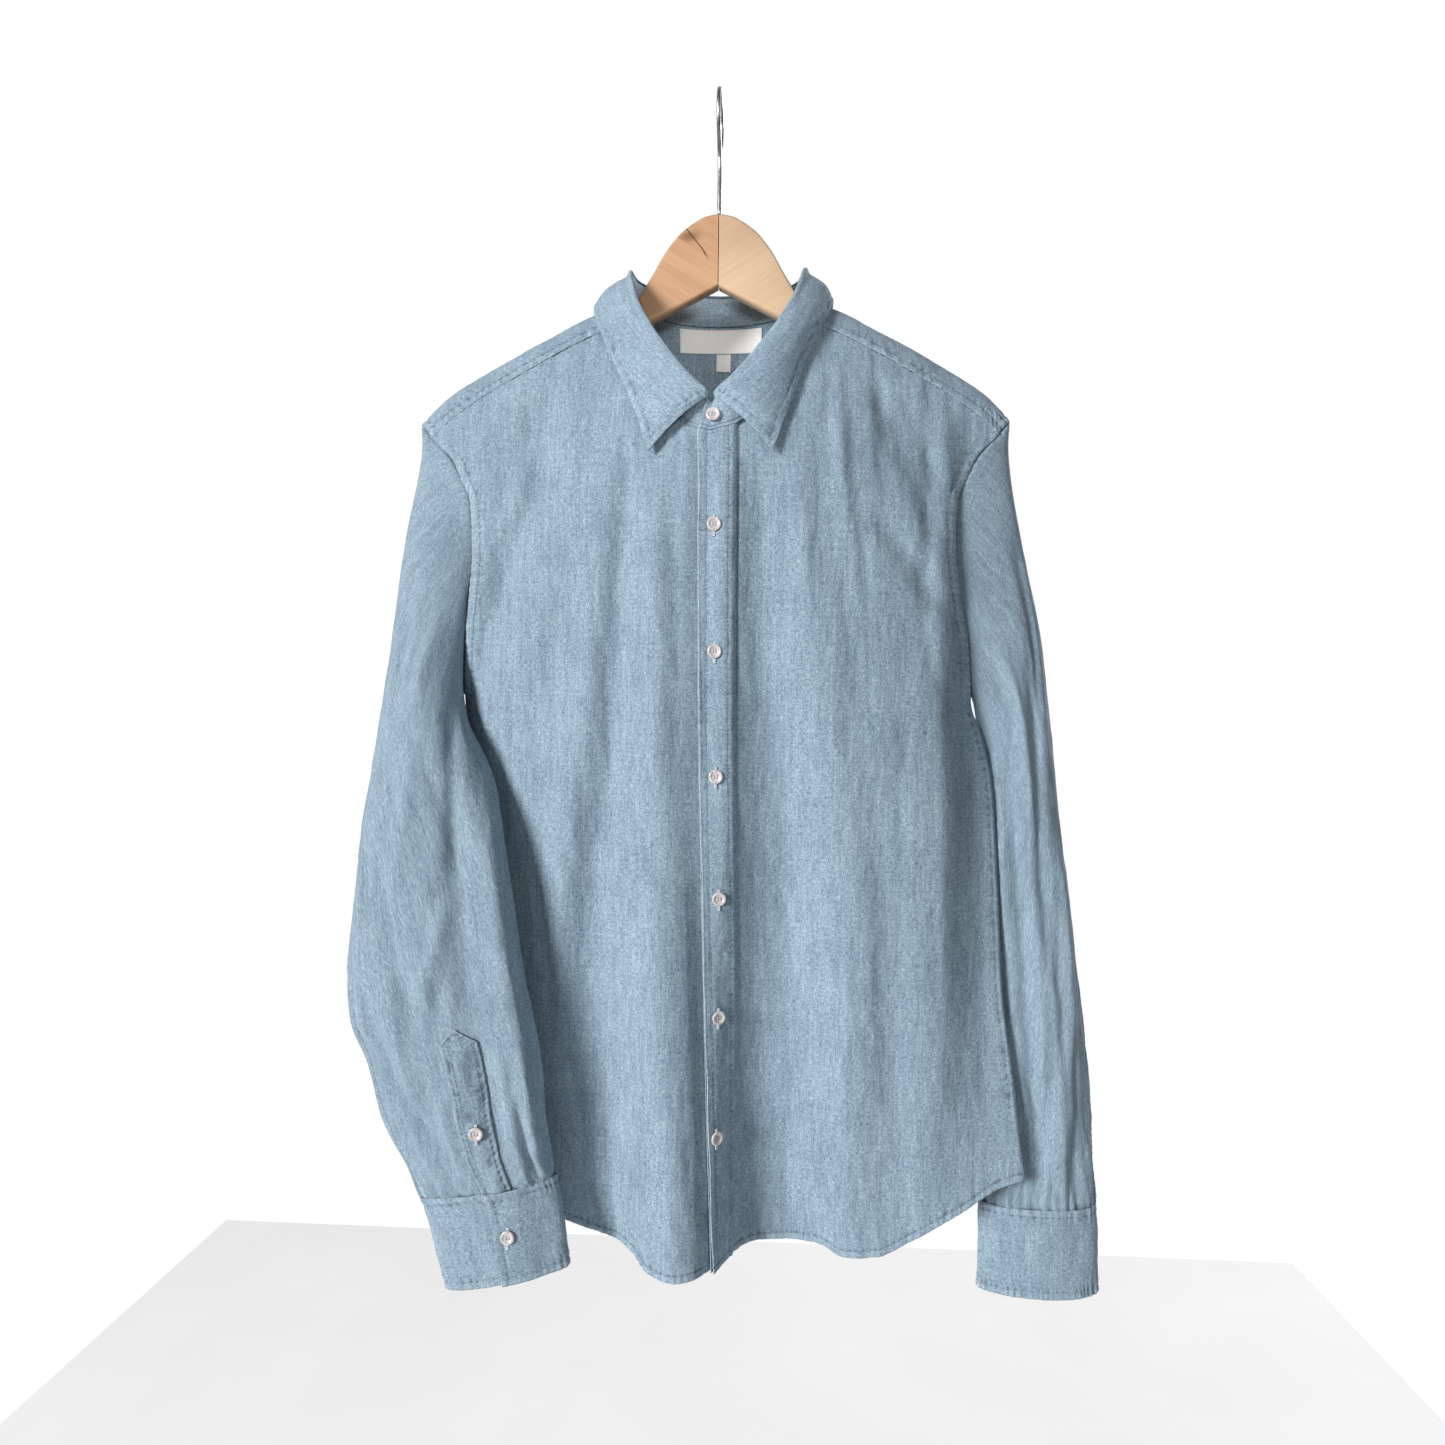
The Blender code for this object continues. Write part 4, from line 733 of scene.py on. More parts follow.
def stitches(path, out, every=3.1, long=2.3, wide=0.42, high=0.34):
    """Sewing stitches along a path: each one is a small spindle of six sides whose
    ends dip into the cloth, set out at even distances by length."""
    steps = np.concatenate([[0], np.cumsum(np.linalg.norm(np.diff(path, axis=0), axis=1))])
    at = np.arange(every * 0.5, steps[-1] - every * 0.4, every)
    if len(at) < 1:
        return
    place, ahead, up = (np.stack([np.interp(there, steps, rows[:, k]) for k in range(3)], 1)
                        for rows, there in ((path, at), (path, at + 0.8), (out, at)))
    up = unit(up)
    forth = unit(ahead - place)
    side = unit(np.cross(up, forth))
    turn = np.arange(STITCH_SIDES) * 2 * math.pi / STITCH_SIDES
    reach = np.array((-0.5, -0.3, 0.0, 0.3, 0.5)) * long
    lift = np.array((-0.15, 0.6, 1.0, 0.6, -0.15)) * high
    girth = np.array((0.25, 0.9, 1.0, 0.9, 0.25))
    rise = lift[:, None] + girth[:, None] * np.sin(turn) * 0.5 * high
    aside = girth[:, None] * np.cos(turn) * 0.5 * wide
    rings = (place[:, None, None] + forth[:, None, None] * reach[None, :, None, None]
             + up[:, None, None] * rise[None, ..., None] + side[:, None, None] * aside[None, ..., None])
    thread_seam.append(settled(rings.reshape(-1, 3)))


# ---- the cloth's own folds -------------------------------------------------------
# each fold of the front as rows of height, across, how far it stands out (below 0 for
# a trough), and its half width to its left and right as the viewer sees it
FRONT_FOLDS = (
    ((-280, -40, 0, 12, 8), (-330, -39, 4.0, 15, 9), (-416, -36, 7.0, 20, 14), (-530, -35, 10.5, 24, 18),
     (-643, -33, 12.0, 25, 22), (-756, -28, 10.0, 24, 22), (-868, -22, 4.0, 20, 18)),
    ((-270, -62, 0, 8, 9), (-320, -62, -3.4, 8, 9), (-416, -66, -5.0, 9, 12), (-473, -67, -5.6, 9, 13),
     (-530, -73, -6.4, 11, 16), (-600, -82, -7.0, 14, 20), (-670, -86, -7.5, 17, 22),
     (-800, -82, -5.0, 18, 20)),
    ((-280, -78, 0, 10, 8), (-340, -79, 2.6, 13, 8), (-416, -83, 4.0, 15, 9), (-473, -90, 4.6, 16, 10),
     (-530, -99, 4.8, 16, 11), (-600, -106, 3.2, 14, 12), (-650, -112, 0, 12, 12)),
    ((-262, -16, 0, 6, 6), (-300, -16, 2.4, 6, 6), (-370, -14, 2.0, 6, 6), (-470, -10, 1.0, 6, 6),
     (-540, -10, 0, 6, 6)),
    ((-262, 9, 0, 11, 10), (-330, 10, 2.8, 11, 10), (-560, 11, 2.8, 12, 11), (-640, 11, 0, 12, 12)),
    ((-280, 34, 0, 12, 12), (-340, 35, -3.6, 13, 12), (-416, 38, -7.0, 20, 14), (-530, 53, -15.0, 32, 20),
     (-643, 57, -18.0, 35, 21), (-756, 54, -9.0, 34, 22), (-868, 52, -1.0, 24, 24)),
    ((-300, 62, 0, 12, 8), (-350, 68, 2.4, 14, 9), (-416, 80, 3.0, 20, 18), (-530, 96, 3.6, 26, 18),
     (-643, 102, 3.8, 28, 18), (-700, 98, 4.4, 26, 16), (-806, 98, 4.5, 24, 16), (-860, 100, 2.0, 20, 14)),
    ((-245, 156, 0, 60, 20), (-290, 157, 9.0, 78, 20), (-340, 158, 15.5, 86, 20),
     (-430, 160, 19.0, 90, 20), (-600, 162, 18.0, 88, 22), (-720, 162, 11.0, 76, 24),
     (-830, 160, 0, 50, 30)),
    ((-250, -172, 0, 12, 40), (-330, -172, 6.0, 12, 46), (-400, -173, 8.0, 11, 50),
     (-450, -172, 5.0, 10, 46), (-500, -165, 0, 10, 40)),
    ((-480, 106, 0, 8, 9), (-540, 110, -1.2, 8, 10), (-600, 125, -2.0, 10, 12), (-700, 131, -3.0, 11, 13),
     (-780, 136, -3.0, 12, 13), (-850, 138, 0, 12, 13)),
    ((-215, -118, 0, 7, 8), (-303, -127, -5.6, 8, 12), (-360, -148, -5.6, 10, 16),
     (-416, -166, -5.6, 10, 18), (-480, -178, 0, 9, 16)),
    ((-230, -140, 0, 10, 7), (-303, -144, 3.0, 13, 8), (-350, -164, 2.4, 12, 8), (-400, -180, 0, 9, 8)),
    ((-390, -112, 0, 8, 9), (-430, -118, -2.4, 8, 10), (-500, -122, 0, 8, 10)),
    ((-220, 122, 0, 7, 7), (-290, 122, -2.0, 7, 8), (-350, 124, 0, 7, 8)),
    ((-225, 158, 0, 7, 7), (-300, 158, -2.4, 7, 8), (-390, 149, -2.4, 8, 9), (-450, 146, 0, 8, 9)),
    ((-225, 90, 0, 6, 6), (-290, 92, 2.4, 8, 6), (-360, 98, 1.8, 9, 8), (-430, 104, 0, 9, 8)),
    ((-215, -100, 0, 6, 6), (-280, -98, 2.2, 7, 6), (-350, -96, 1.2, 8, 8), (-400, -96, 0, 8, 8)),
)


def hanging_folds(x, z, seed):
    """Soft folds that run down the cloth: random ridges a few times taller than
    wide, finer ones near the yoke, and the finest for the washed, rumpled face."""
    below = ease((-190 - z) / 90)
    gather = ease((-185 - z) / 30) * ease((z + 430) / 170)
    h = 0.9 * rumple(x, z, 17, 190, seed) + 0.55 * rumple(x + 0.1 * z, z, 8, 60, seed + 1)
    h = h * below + 0.55 * gather * rumple(x, z, 7.5, 110, seed + 2)
    return h + 0.28 * rumple(x, z, 3.6, 11, seed + 3) + 0.20 * rumple(x, z, 5.0, 4.4, seed + 4)


def front_folds(x, z):
    """The front's long folds: each is a bell across its crest line, with its own
    width on either side, and its height, place and widths run smoothly down."""
    h = 0.0 * x
    for rows in FRONT_FOLDS:
        table = np.array(rows, float)
        across, out, left, right = (curve(z, table[:, 0], table[:, k]) for k in (1, 2, 3, 4))
        off = x - across
        h = h + out * bell(off, np.where(off < 0, left, right))
    return h


def inward(x, z):
    """1 on a panel and 0 at the body's sides, where its folds die out."""
    return ease((1 - np.abs(x) / side_edge(x, z)[0]) * 7)


def hung_front(x, z):
    """Forward place of the front with its folds."""
    return front_y(x, z) - inward(x, z) * (front_folds(x, z) + hanging_folds(x, z, 11))


def hung_back(x, z):
    """Place of the back with its folds."""
    soft = 2.4 * ease((-230 - z) / 200) * rumple(x, z, 34, 420, 35)
    return back_y(x, z) + inward(x, z) * (hanging_folds(x, z, 31) + soft)


# ---- fronts, placket, back and yoke ------------------------------------------------
LOW_Z = -866.0         # height of the hem at the placket
TOP_CORNER = 212.0     # half width at the top of the armhole's front edge
NECK_CORNER = 62.6     # half width where the neckline meets the yoke's front seam
STRIP_MM = {-1: (27.0, 26, 22, 16, 10, 5, 0, -5, -10, -13.5, -16),    # columns in the overlap
            +1: (0, 0.5, 1.5, 4, 8, 13, 18, 23, 26, 27.0)}
EDGE_MM = (0, 0.4, 1.0, 1.8, 2.6, 3.4, 4.2, 5.0, 5.6, 6.4, 7.4, 8.6, 10)


def front_points(side, across, down):
    """Columns at shares of the width from the placket's far edge (0) to the
    armhole or side seam (1), or, below 0, at distances from the overlap's edge.
    Rows are distances down each column from its top edge."""
    strip = across[:, 0] < 0.5
    place = across[:, 1]
    last = PLACKET_WIDTH if side > 0 else UNDER_REACH
    middle_z = NECK_Z[0]
    fixed = side * placket_x(middle_z, last)
    top_x = np.where(strip, side * placket_x(middle_z, place), fixed + place * (TOP_CORNER - fixed))
    angle = np.degrees(np.arcsin(np.clip(top_x / NECK_HALF, -1, 1)))
    seam_z = ridge(top_x) - YOKE_FRONT - SEAM / 2
    top_z = np.where(top_x < NECK_CORNER, neckline(angle)[1], seam_z)
    inner = side * placket_x(top_z, last)
    share = np.where(strip, 0, (top_x - inner) / (panel_edge(top_z, side, ARMHOLE_FRONT) - inner))
    low = mix(side * placket_x(LOW_Z, last), panel_edge(SIDE_Z[0], side, ARMHOLE_FRONT), share)
    length = top_z - front_hem(np.where(strip, placket_x(LOW_Z, place), side * low))
    z = top_z[:, None] - down(length)
    far = side * mix(side * placket_x(z, last), panel_edge(z, side, ARMHOLE_FRONT), share[:, None])
    return np.where(strip[:, None], placket_x(z, place[:, None]), far), z, length


def front_rows(length):
    """Distances down a front: close together at its top edge and its hem."""
    return spaced(length, EDGE_MM, 226, EDGE_MM)


def front_panel(side, word, material):
    """A front from the neckline and the yoke's seam to the hem.  The right one is
    tucked in under the placket, and the left one has a groove along its far edge."""
    wide = np.concatenate([np.linspace(0, 0.95, 106)[1:], 0.95 + 0.05 * np.linspace(0, 1, 9)[1:]])
    strip = np.array(STRIP_MM[side])
    across = np.concatenate([np.stack([0 * strip, strip], 1), np.stack([0 * wide + 1, wide], 1)])
    x, z, length = front_points(side, across, front_rows)
    grid = np.stack([x, hung_front(x, z), z], -1)
    normals = normals_of(grid, (0, -1, 0))
    d_top = front_rows(length)
    d_low = length[:, None] - d_top
    edge = np.abs(panel_edge(z, side, ARMHOLE_FRONT) - np.abs(x))
    near_hem = plateau(d_low, 15)
    near_yoke = (np.abs(x[:, :1]) > 60) * bell(d_top - 1, 9)
    above = ease((z - ARMPIT_Z + 10) / 12) * ease((d_top - 6) / 8)
    flank = (1 - above) * ease((ARMPIT_Z - z) / 10) * plateau(edge, 16)
    height = (near_hem * seam(d_low, x, 5 + side, margin=5.2, roll=0.35, pull=0.42, period=4.2, reach=6)
              + 0.34 * near_yoke * puckers(np.abs(x), 4.6, 71)
              + seam(edge, z, 47 + side, margin=7.5, roll=0.4, pull=0.4, period=5.4, reach=7)
              * above * plateau(edge, 22)
              + seam(edge, z, 57 + side, margin=4.5, roll=0.2, pull=0.3, period=6.0, reach=5)
              * flank * (1 - near_hem))
    tuck = 0
    if side < 0:
        from_edge = x - placket_x(z, 0.0)
        tuck = (CLOTH + LAYER + 0.1) * ease((from_edge + 10) / 8) * (1 + 0.7 * ease((-540 - z) / 80))
        beside = -from_edge - 3.0
        stitched = 0.3 * bell(beside - 5.5, 0.8) + 0.12 * puckers(z, 3.6, 91) * bell(beside - 3, 6)
        height = height * (from_edge < -4) - tuck - stitched * (from_edge < -1)
    else:
        groove = 0.5 * bell(x - placket_x(z, 28.3), 1.2) * ease(x - placket_x(z, 26.8))
        height = height * (x > placket_x(z, 29.0)) - groove
    grid = grid + normals * height[..., None]
    wear_and_shade = rub_and_groove_shade(height + tuck, d_low) * np.clip(near_hem + above + flank + near_yoke, 0, 1)
    path, out = grid[:, -8], normals[:, -8]
    keep = side * path[:, 0] > side * placket_x(LOW_Z, 27.5 if side > 0 else -2.0)
    stitches(path[keep], out[keep])
    row = edge_rows(np.abs(edge - 7.5), z > ARMPIT_Z + 6)
    stitches(*row_path(grid, normals, row, slice(14, None)))
    grid, normals, wear_and_shade = beyond(grid, normals, wear_and_shade)
    add_cloth("sewn_front_" + word, grid, normals, 0.75, material, wear_and_shade=wear_and_shade, nodes=("front_" + word,),
              straight=True)


def edge_rows(miss, allowed):
    """For each row the column where `miss` is least, or -1 where not allowed."""
    best = np.argmin(miss, axis=0)
    return np.where(allowed[best, np.arange(miss.shape[1])], best, -1)


def row_path(grid, normals, columns, rows):
    """The points picked by one column for each row."""
    j = np.arange(grid.shape[1])[rows]
    j = j[columns[rows] >= 0]
    return grid[columns[j], j], normals[columns[j], j]


PLACKET_MM = (0, 0.35, 0.9, 1.8, 2.8, 4, 5.2, 6.2, 7.2, 8.6, 10.2, 12, 13.8, 15.4, 17, 18.4, 19.6,
              20.8, 22, 23.2, 24.2, 25.2, 26.1, 26.65, 27)


def placket_strip(material):
    """The folded strip on the left front: raised along both edges, with a row of
    stitches 6 in from each, shallow pulls at the buttonholes and puckers between."""
    across = np.array(PLACKET_MM)

    def down(length):
        return spaced(length, (0, 0.4, 1.0, 2.0), 470, EDGE_MM)

    x, z, length = front_points(+1, np.stack([0 * across, across], 1), down)
    z = np.minimum(z, z[:, :1])
    grid = np.stack([x, hung_front(x, z), z], -1)
    normals = normals_of(grid, (0, -1, 0))
    offset = across[:, None] + 0 * z
    d_low = length[:, None] - down(length)
    h = seam(offset, z, 201, margin=6.2, roll=0.25, pull=0.16, period=4.4, reach=5)
    h = h + seam(PLACKET_WIDTH - offset, z, 203, margin=5.6, roll=0.1, pull=0.26, period=3.7, reach=3)
    # The folded left edge is painted paler: abrasion on the fold, and partly a painted highlight along it.
    wear_and_shade = rub_and_groove_shade(h, np.minimum(offset, PLACKET_WIDTH - offset), 0.8) + 0.7 * bell(offset, 1.0)
    h = h + 0.6 * bell(offset, 1.6)
    middle = bell(offset - 14, 6)
    h = h + 0.42 * middle * rumple(offset + 0.25 * z, z, 6, 24, 205)
    h = h + 0.3 * middle * rumple(offset - 0.2 * z, z, 4, 13, 207)
    for row in BUTTON_ROWS:
        h = h - 0.45 * bell(z - row, 5) * bell(offset - 11, 6)
    h = h + seam(d_low, offset, 209, margin=5.2, roll=0.3, pull=0.3, period=3.6) * plateau(d_low, 9)
    grid[..., 0] += 0.5 * wander(z, 26, 213) * bell(offset, 5)
    lift = (CLOTH + LAYER + 0.2) * (1 - 0.6 * ease((offset - 23.5) / 3.5))
    grid = grid + normals * (lift + h * 0.9)[..., None]
    for mm in (6.2, 21.4):
        k = nearest(across, mm)
        stitches(grid[k], normals[k])
    stitches(grid[:, -8], normals[:, -8])
    add_cloth("sewn_placket_front", grid, normals, 0.9, material, wear_and_shade=wear_and_shade, nodes=("placket_front",),
                     straight=True)


def back_panel(material):
    """The back below the yoke, with both sides and the rounded hem."""
    share = np.concatenate([np.linspace(0, 0.95, 62), 0.95 + 0.05 * np.linspace(0, 1, 7)[1:]])
    half = share * BACK_STEPS[0]
    across = np.concatenate([-half[::-1], half[1:]])
    left = across >= 0
    side = np.where(left, 1, -1)

    def edge_at(z):
        """The panel's edge on each column's own side."""
        there = left.reshape((-1,) + (1,) * (z.ndim - 1))
        return np.where(there, panel_edge(z, +1, ARMHOLE_BACK), panel_edge(z, -1, ARMHOLE_BACK))

    top = back_seam_z(across) - SEAM / 2
    part = np.abs(across) / edge_at(top)
    length = top - back_hem(side * (part * np.where(left, SIDE_X[+1][0], SIDE_X[-1][0])))
    down = spaced(length, EDGE_MM, 186, EDGE_MM)
    z = top[:, None] - down
    edge_x = edge_at(z)
    x = side[:, None] * part[:, None] * edge_x
    grid = np.stack([x, hung_back(x, z), z], -1)
    normals = normals_of(grid, (0, 1, 0))
    d_low = length[:, None] - down
    edge = edge_x - np.abs(x)
    near_hem = plateau(d_low, 15)
    above = ease((z - ARMPIT_Z + 10) / 12)
    height = seam(d_low, x, 15, margin=5.2, roll=0.35, pull=0.4, period=4.4, reach=6) * near_hem
    armhole = seam(edge, z, 83, margin=7.5, roll=0.4, pull=0.4, period=5.4, reach=7)
    height = height + armhole * above * plateau(edge, 22)
    height = height + 0.34 * bell(down - 1, 9) * puckers(x, 4.6, 77)
    grid = grid + normals * height[..., None]
    wear_and_shade = rub_and_groove_shade(height, d_low) * np.clip(near_hem + above + bell(down, 12), 0, 1)
    stitches(grid[:, -8], normals[:, -8])
    grid, normals, wear_and_shade = beyond(grid, normals, wear_and_shade)
    add_cloth("sewn_back", grid, normals, 0.75, material, wear_and_shade=wear_and_shade, nodes=("back",),
              straight=True)


def yoke_piece(material):
    """One piece from the front seams over the shoulders and behind the neck: each
    column runs from the neckline straight out to the armhole or the back seam."""
    outer = list(YOKE_SHOULDER)
    for angle, z in YOKE_ARMHOLE:
        x = float(curve(z, ARMHOLE_Z, ARMHOLE_BACK))
        outer.append((angle, x, float(ridge(x)) - z))
    for angle, x in zip(YOKE_BACK_ANGLES, BACK_STEPS):
        outer.append((angle, x, float(ridge(x) - back_seam_z(x)) - SEAM / 2))
    outer = np.array(outer)
    outer[0, 0] = YOKE_START
    knots = np.arange(len(outer))
    at = np.concatenate([np.linspace(0, 2, 20), np.linspace(2, 10, 40)[1:],
                         np.linspace(10, len(outer) - 1, 70)[1:]])
    fine = np.stack([curve(at, knots, outer[:, k]) for k in range(3)], 1)
    neck_x, neck_z = neckline(fine[:, 0])
    neck_below = np.sign(fine[:, 0] - 90) * np.maximum(ridge(neck_x) - neck_z, 0.0)
    rows = np.concatenate([np.linspace(0, 0.93, 64), np.linspace(0.93, 1, 9)[1:]])
    x = mix(neck_x[:, None], fine[:, 1:2], rows)
    below = mix(neck_below[:, None], fine[:, 2:3], rows)
    left = body_point(x, below)
    grid = np.concatenate([left, left[-2::-1] * np.array((-1, 1, 1))])
    outward = np.stack([grid[..., 0] * 0, grid[..., 1] * 2, grid[..., 0] * 0 + 20], -1)
    normals = normals_of(grid, outward)
    u = run(grid, 0)
    v = run(grid, 1)
    front = np.minimum(u, u[-1:] - u)
    outer_edge = v[:, -1:] - v
    h = plateau(front, 22) * seam(front, grid[..., 0], 303, margin=6.5, roll=0.25, pull=0.44,
                                  period=4.0, reach=7)
    h = h + plateau(outer_edge, 20) * seam(outer_edge, u, 305, margin=6.5, roll=0.35, pull=0.35,
                                           period=5.0, reach=6)
    wear_and_shade = rub_and_groove_shade(h, front, 0.6)
    h = h + 0.3 * rumple(grid[..., 0], ridge(grid[..., 0]) - grid[..., 2], 14, 9, 307)
    h = h + 0.14 * rumple(u, v, 5, 5, 309)
    grid = grid + normals * (h + 0.35)[..., None]
    for k in (nearest(u[:, 40], 6.5), nearest(u[-1, 40] - u[:, 40], 6.5)):
        stitches(grid[k, 2:-6], normals[k, 2:-6])
    back = slice(60, grid.shape[0] - 60)
    j = nearest(outer_edge[grid.shape[0] // 2], 6.0)
    stitches(grid[back, j], normals[back, j])
    add_cloth("sewn_yoke", grid, normals, 0.75, material, wear_and_shade=wear_and_shade, lengthwise=True, straight=True,
              nodes=("yoke",))


# ---- collar --------------------------------------------------------------------------
def neck_band(material):
    """The stand from the neckline to the fold, rounded outwards; its left end
    lifts to lie over the right one in front."""
    overlap = math.degrees(math.asin(placket_x(NECK_Z[0], 0.6) / NECK_HALF))
    angles = np.linspace(overlap, 360.0 + BAND_UNDERLAP, 300)
    angles = np.concatenate([overlap + np.array((0, 0.3, 0.8)), angles[1:-1], angles[-1] - np.array((0.4, 0))])
    signed = np.where(angles > 180, angles - 360, angles)
    low = neck_edge(signed)
    high = fold_line(signed)
    rise = unit(high - low)
    out = outward_at(angles)
    lift = np.where(angles < 180, band_lift(angles), 0.0)
    steep = 1.0 * ease((np.abs(signed) - 62) / 15) * ease((112 - np.abs(signed)) / 15)
    start = low + rise * (0.5 + steep)[:, None]
    stop = high - rise * 0.4
    t = np.concatenate([np.linspace(0, 0.15, 6), np.linspace(0.15, 0.85, 14)[1:-1], np.linspace(0.85, 1, 6)])
    grid = mix(start[:, None], stop[:, None], t[None, :, None])
    grid = grid + out[:, None] * (lift[:, None] + BAND_BULGE * np.sin(math.pi * t))[..., None]
    normals = normals_of(grid, out[:, None, :])
    u = run(grid, 0)
    v = run(grid, 1)
    h = seam(v, u, 401, margin=2.4, roll=0.25, pull=0.22, period=3.6, reach=4) + 0.15 * rumple(u, v, 9, 6, 403)
    ends = np.minimum(u, u[-1:] - u)
    h = h + 0.2 * bell(ends - 1.5, 1.5)
    grid = grid + normals * h[..., None]
    stitches(grid[:, 4], normals[:, 4], long=2.0)
    add_cloth("sewn_collar_stand", grid, normals, 1.0, material, wear_and_shade=rub_and_groove_shade(h, np.minimum(ends, v), 0.7),
                     lengthwise=True, nodes=("collar_stand",))


def folded_leaf(material):
    """The leaf: a small roll over the stand, then down to its edge over the body.
    It is two plies thick, with a raised, puckered margin inside the stitches."""
    half = np.concatenate([5 + np.array((0, 0.25, 0.6, 1.1, 1.7, 2.4, 3.2)), np.linspace(9, 180, 132)])
    angles = np.concatenate([half, 360 - half[-2::-1]])
    signed = np.where(angles > 180, angles - 360, angles)
    turn = np.abs(signed)
    side = np.where(signed >= 0, 1.0, -1.0)
    out = outward_at(signed)
    up = np.array((0, 0, 1.0))
    fold = fold_line(signed) + out * band_lift(signed)[:, None]
    tuck = LEAF_TUCK * ease((turn - 25) / 40) * ease((125 - turn) / 30) * (side > 0)
    edge_x = side * (curve(turn, LEAF_ANGLE, LEAF_X) - tuck)
    below = curve(turn, LEAF_ANGLE, LEAF_BELOW)
    lift = CLOTH + LAYER + curve(turn, LEAF_ANGLE, LEAF_LIFT)
    edge = body_point(edge_x, below) + body_normal(edge_x, below) * lift[:, None]
    roll = CLOTH + LAYER + 1.1
    rows = [fold + up * roll - out * 0.4, fold + up * roll * 0.8 + out * roll * 0.7,
            fold + out * (roll + 1.4) - up * 2.0]
    start = rows[-1]
    for t in (0.2, 0.45, 0.72, 1.0):
        rows.append(mix(start, edge, t) + (out * 4.0 + up * 2.0) * math.sin(math.pi * t))
    coarse = np.stack(rows, 1)
    at = np.concatenate([np.linspace(0, 2, 9), np.linspace(2, 5.6, 26)[1:], 5.6 + np.linspace(0, 0.4, 9)[1:]])
    grid = np.swapaxes(between(np.swapaxes(coarse, 0, 1), np.arange(7), at), 0, 1)
    x = grid[..., 0]
    y = grid[..., 1]
    z = grid[..., 2]
    room = CLOTH + LAYER + 1.5
    beside = z < ridge(x) - 3.0
    over = ease((ridge(x) - 3.0 - z) / 6.0)
    y = np.where(beside & (y < 0), mix(y, np.minimum(y, hung_front(x, z) - room), over), y)
    grid[..., 1] = np.where(beside & (y > 0), np.maximum(y, back_y(x, z) + room), y)
    normals = normals_of(grid, out[:, None, :] + up * 0.3)
    for _ in range(3):
        normals = unit(normals + 0.5 * np.roll(normals, 1, 0) * (turn > 7)[:, None, None]
                       + 0.5 * np.roll(normals, -1, 0) * (turn > 7)[:, None, None])
    u = run(grid, 0)
    v = run(grid, 1)
    ends = np.minimum(u, u[-1:] - u)
    outer_edge = v[:, -1:] - v
    d = np.minimum(ends, outer_edge)
    s = np.where(ends < outer_edge, v, u)
    h = seam(d, s, 501, margin=5.8, roll=0.22, pull=0.40, period=3.1, reach=5.0) * plateau(d, 15)
    wear_and_shade = rub_and_groove_shade(h, d, 0.6)
    h = h * ease(v / 8 + 0.05) + 0.18 * rumple(u, v, 13, 9, 503) + 0.08 * rumple(u, v, 4, 4, 505)
    grid = grid + normals * h[..., None]
    j = nearest(outer_edge[10], 5.8)
    stitches(grid[8:-8, j], normals[8:-8, j])
    for k in (nearest(u[:, 30], 5.8), nearest(u[-1, 30] - u[:, 30], 5.8)):
        stitches(grid[k, 6:-7], normals[k, 6:-7])
    add_cloth("sewn_collar_leaf", grid, normals, 1.35, material, wear_and_shade=wear_and_shade, lengthwise=True,
                     nodes=("collar_leaf",))


# ---- sleeves and cuffs -----------------------------------------------------------------
# creases on a sleeve: angle and height at both ends, depth, half width in degrees
SLEEVE_CREASES = {
    -1: ((118, -540, 114, -800, 3.0, 10), (52, -560, 84, -700, 3.4, 8),
         (70, -640, 60, -770, -3.0, 7), (128, -420, 112, -600, 3.4, 8), (36, -640, 70, -800, 4.0, 7),
         (86, -500, 60, -620, -2.4, 8), (128, -700, 132, -806, -3.0, 5), (60, -740, 84, -806, 3.4, 5),
         (98, -660, 92, -700, 2.4, 5), (84, -740, 80, -806, -2.6, 4), (108, -600, 86, -670, -2.6, 6),
         (46, -330, 60, -480, 2.6, 9), (100, -320, 84, -470, -2.4, 8), (74, -300, 70, -400, 2.2, 6),
         (30, -560, 44, -700, -2.8, 7), (20, -640, 36, -790, 3.0, 7), (140, -740, 146, -806, 3.0, 4)),
    +1: ((60, -420, 80, -640, 3.6, 9), (96, -380, 84, -560, -3.0, 8), (40, -560, 60, -800, -4.0, 10),
         (112, -520, 96, -800, 3.8, 9), (74, -640, 70, -820, -2.4, 6), (30, -330, 52, -470, 2.8, 8),
         (84, -600, 92, -780, -2.6, 7), (120, -330, 104, -470, 2.8, 7), (140, -420, 126, -640, -3.4, 9),
         (64, -300, 70, -400, -2.0, 6), (50, -700, 56, -826, 2.8, 6), (104, -740, 100, -826, -2.4, 5))}


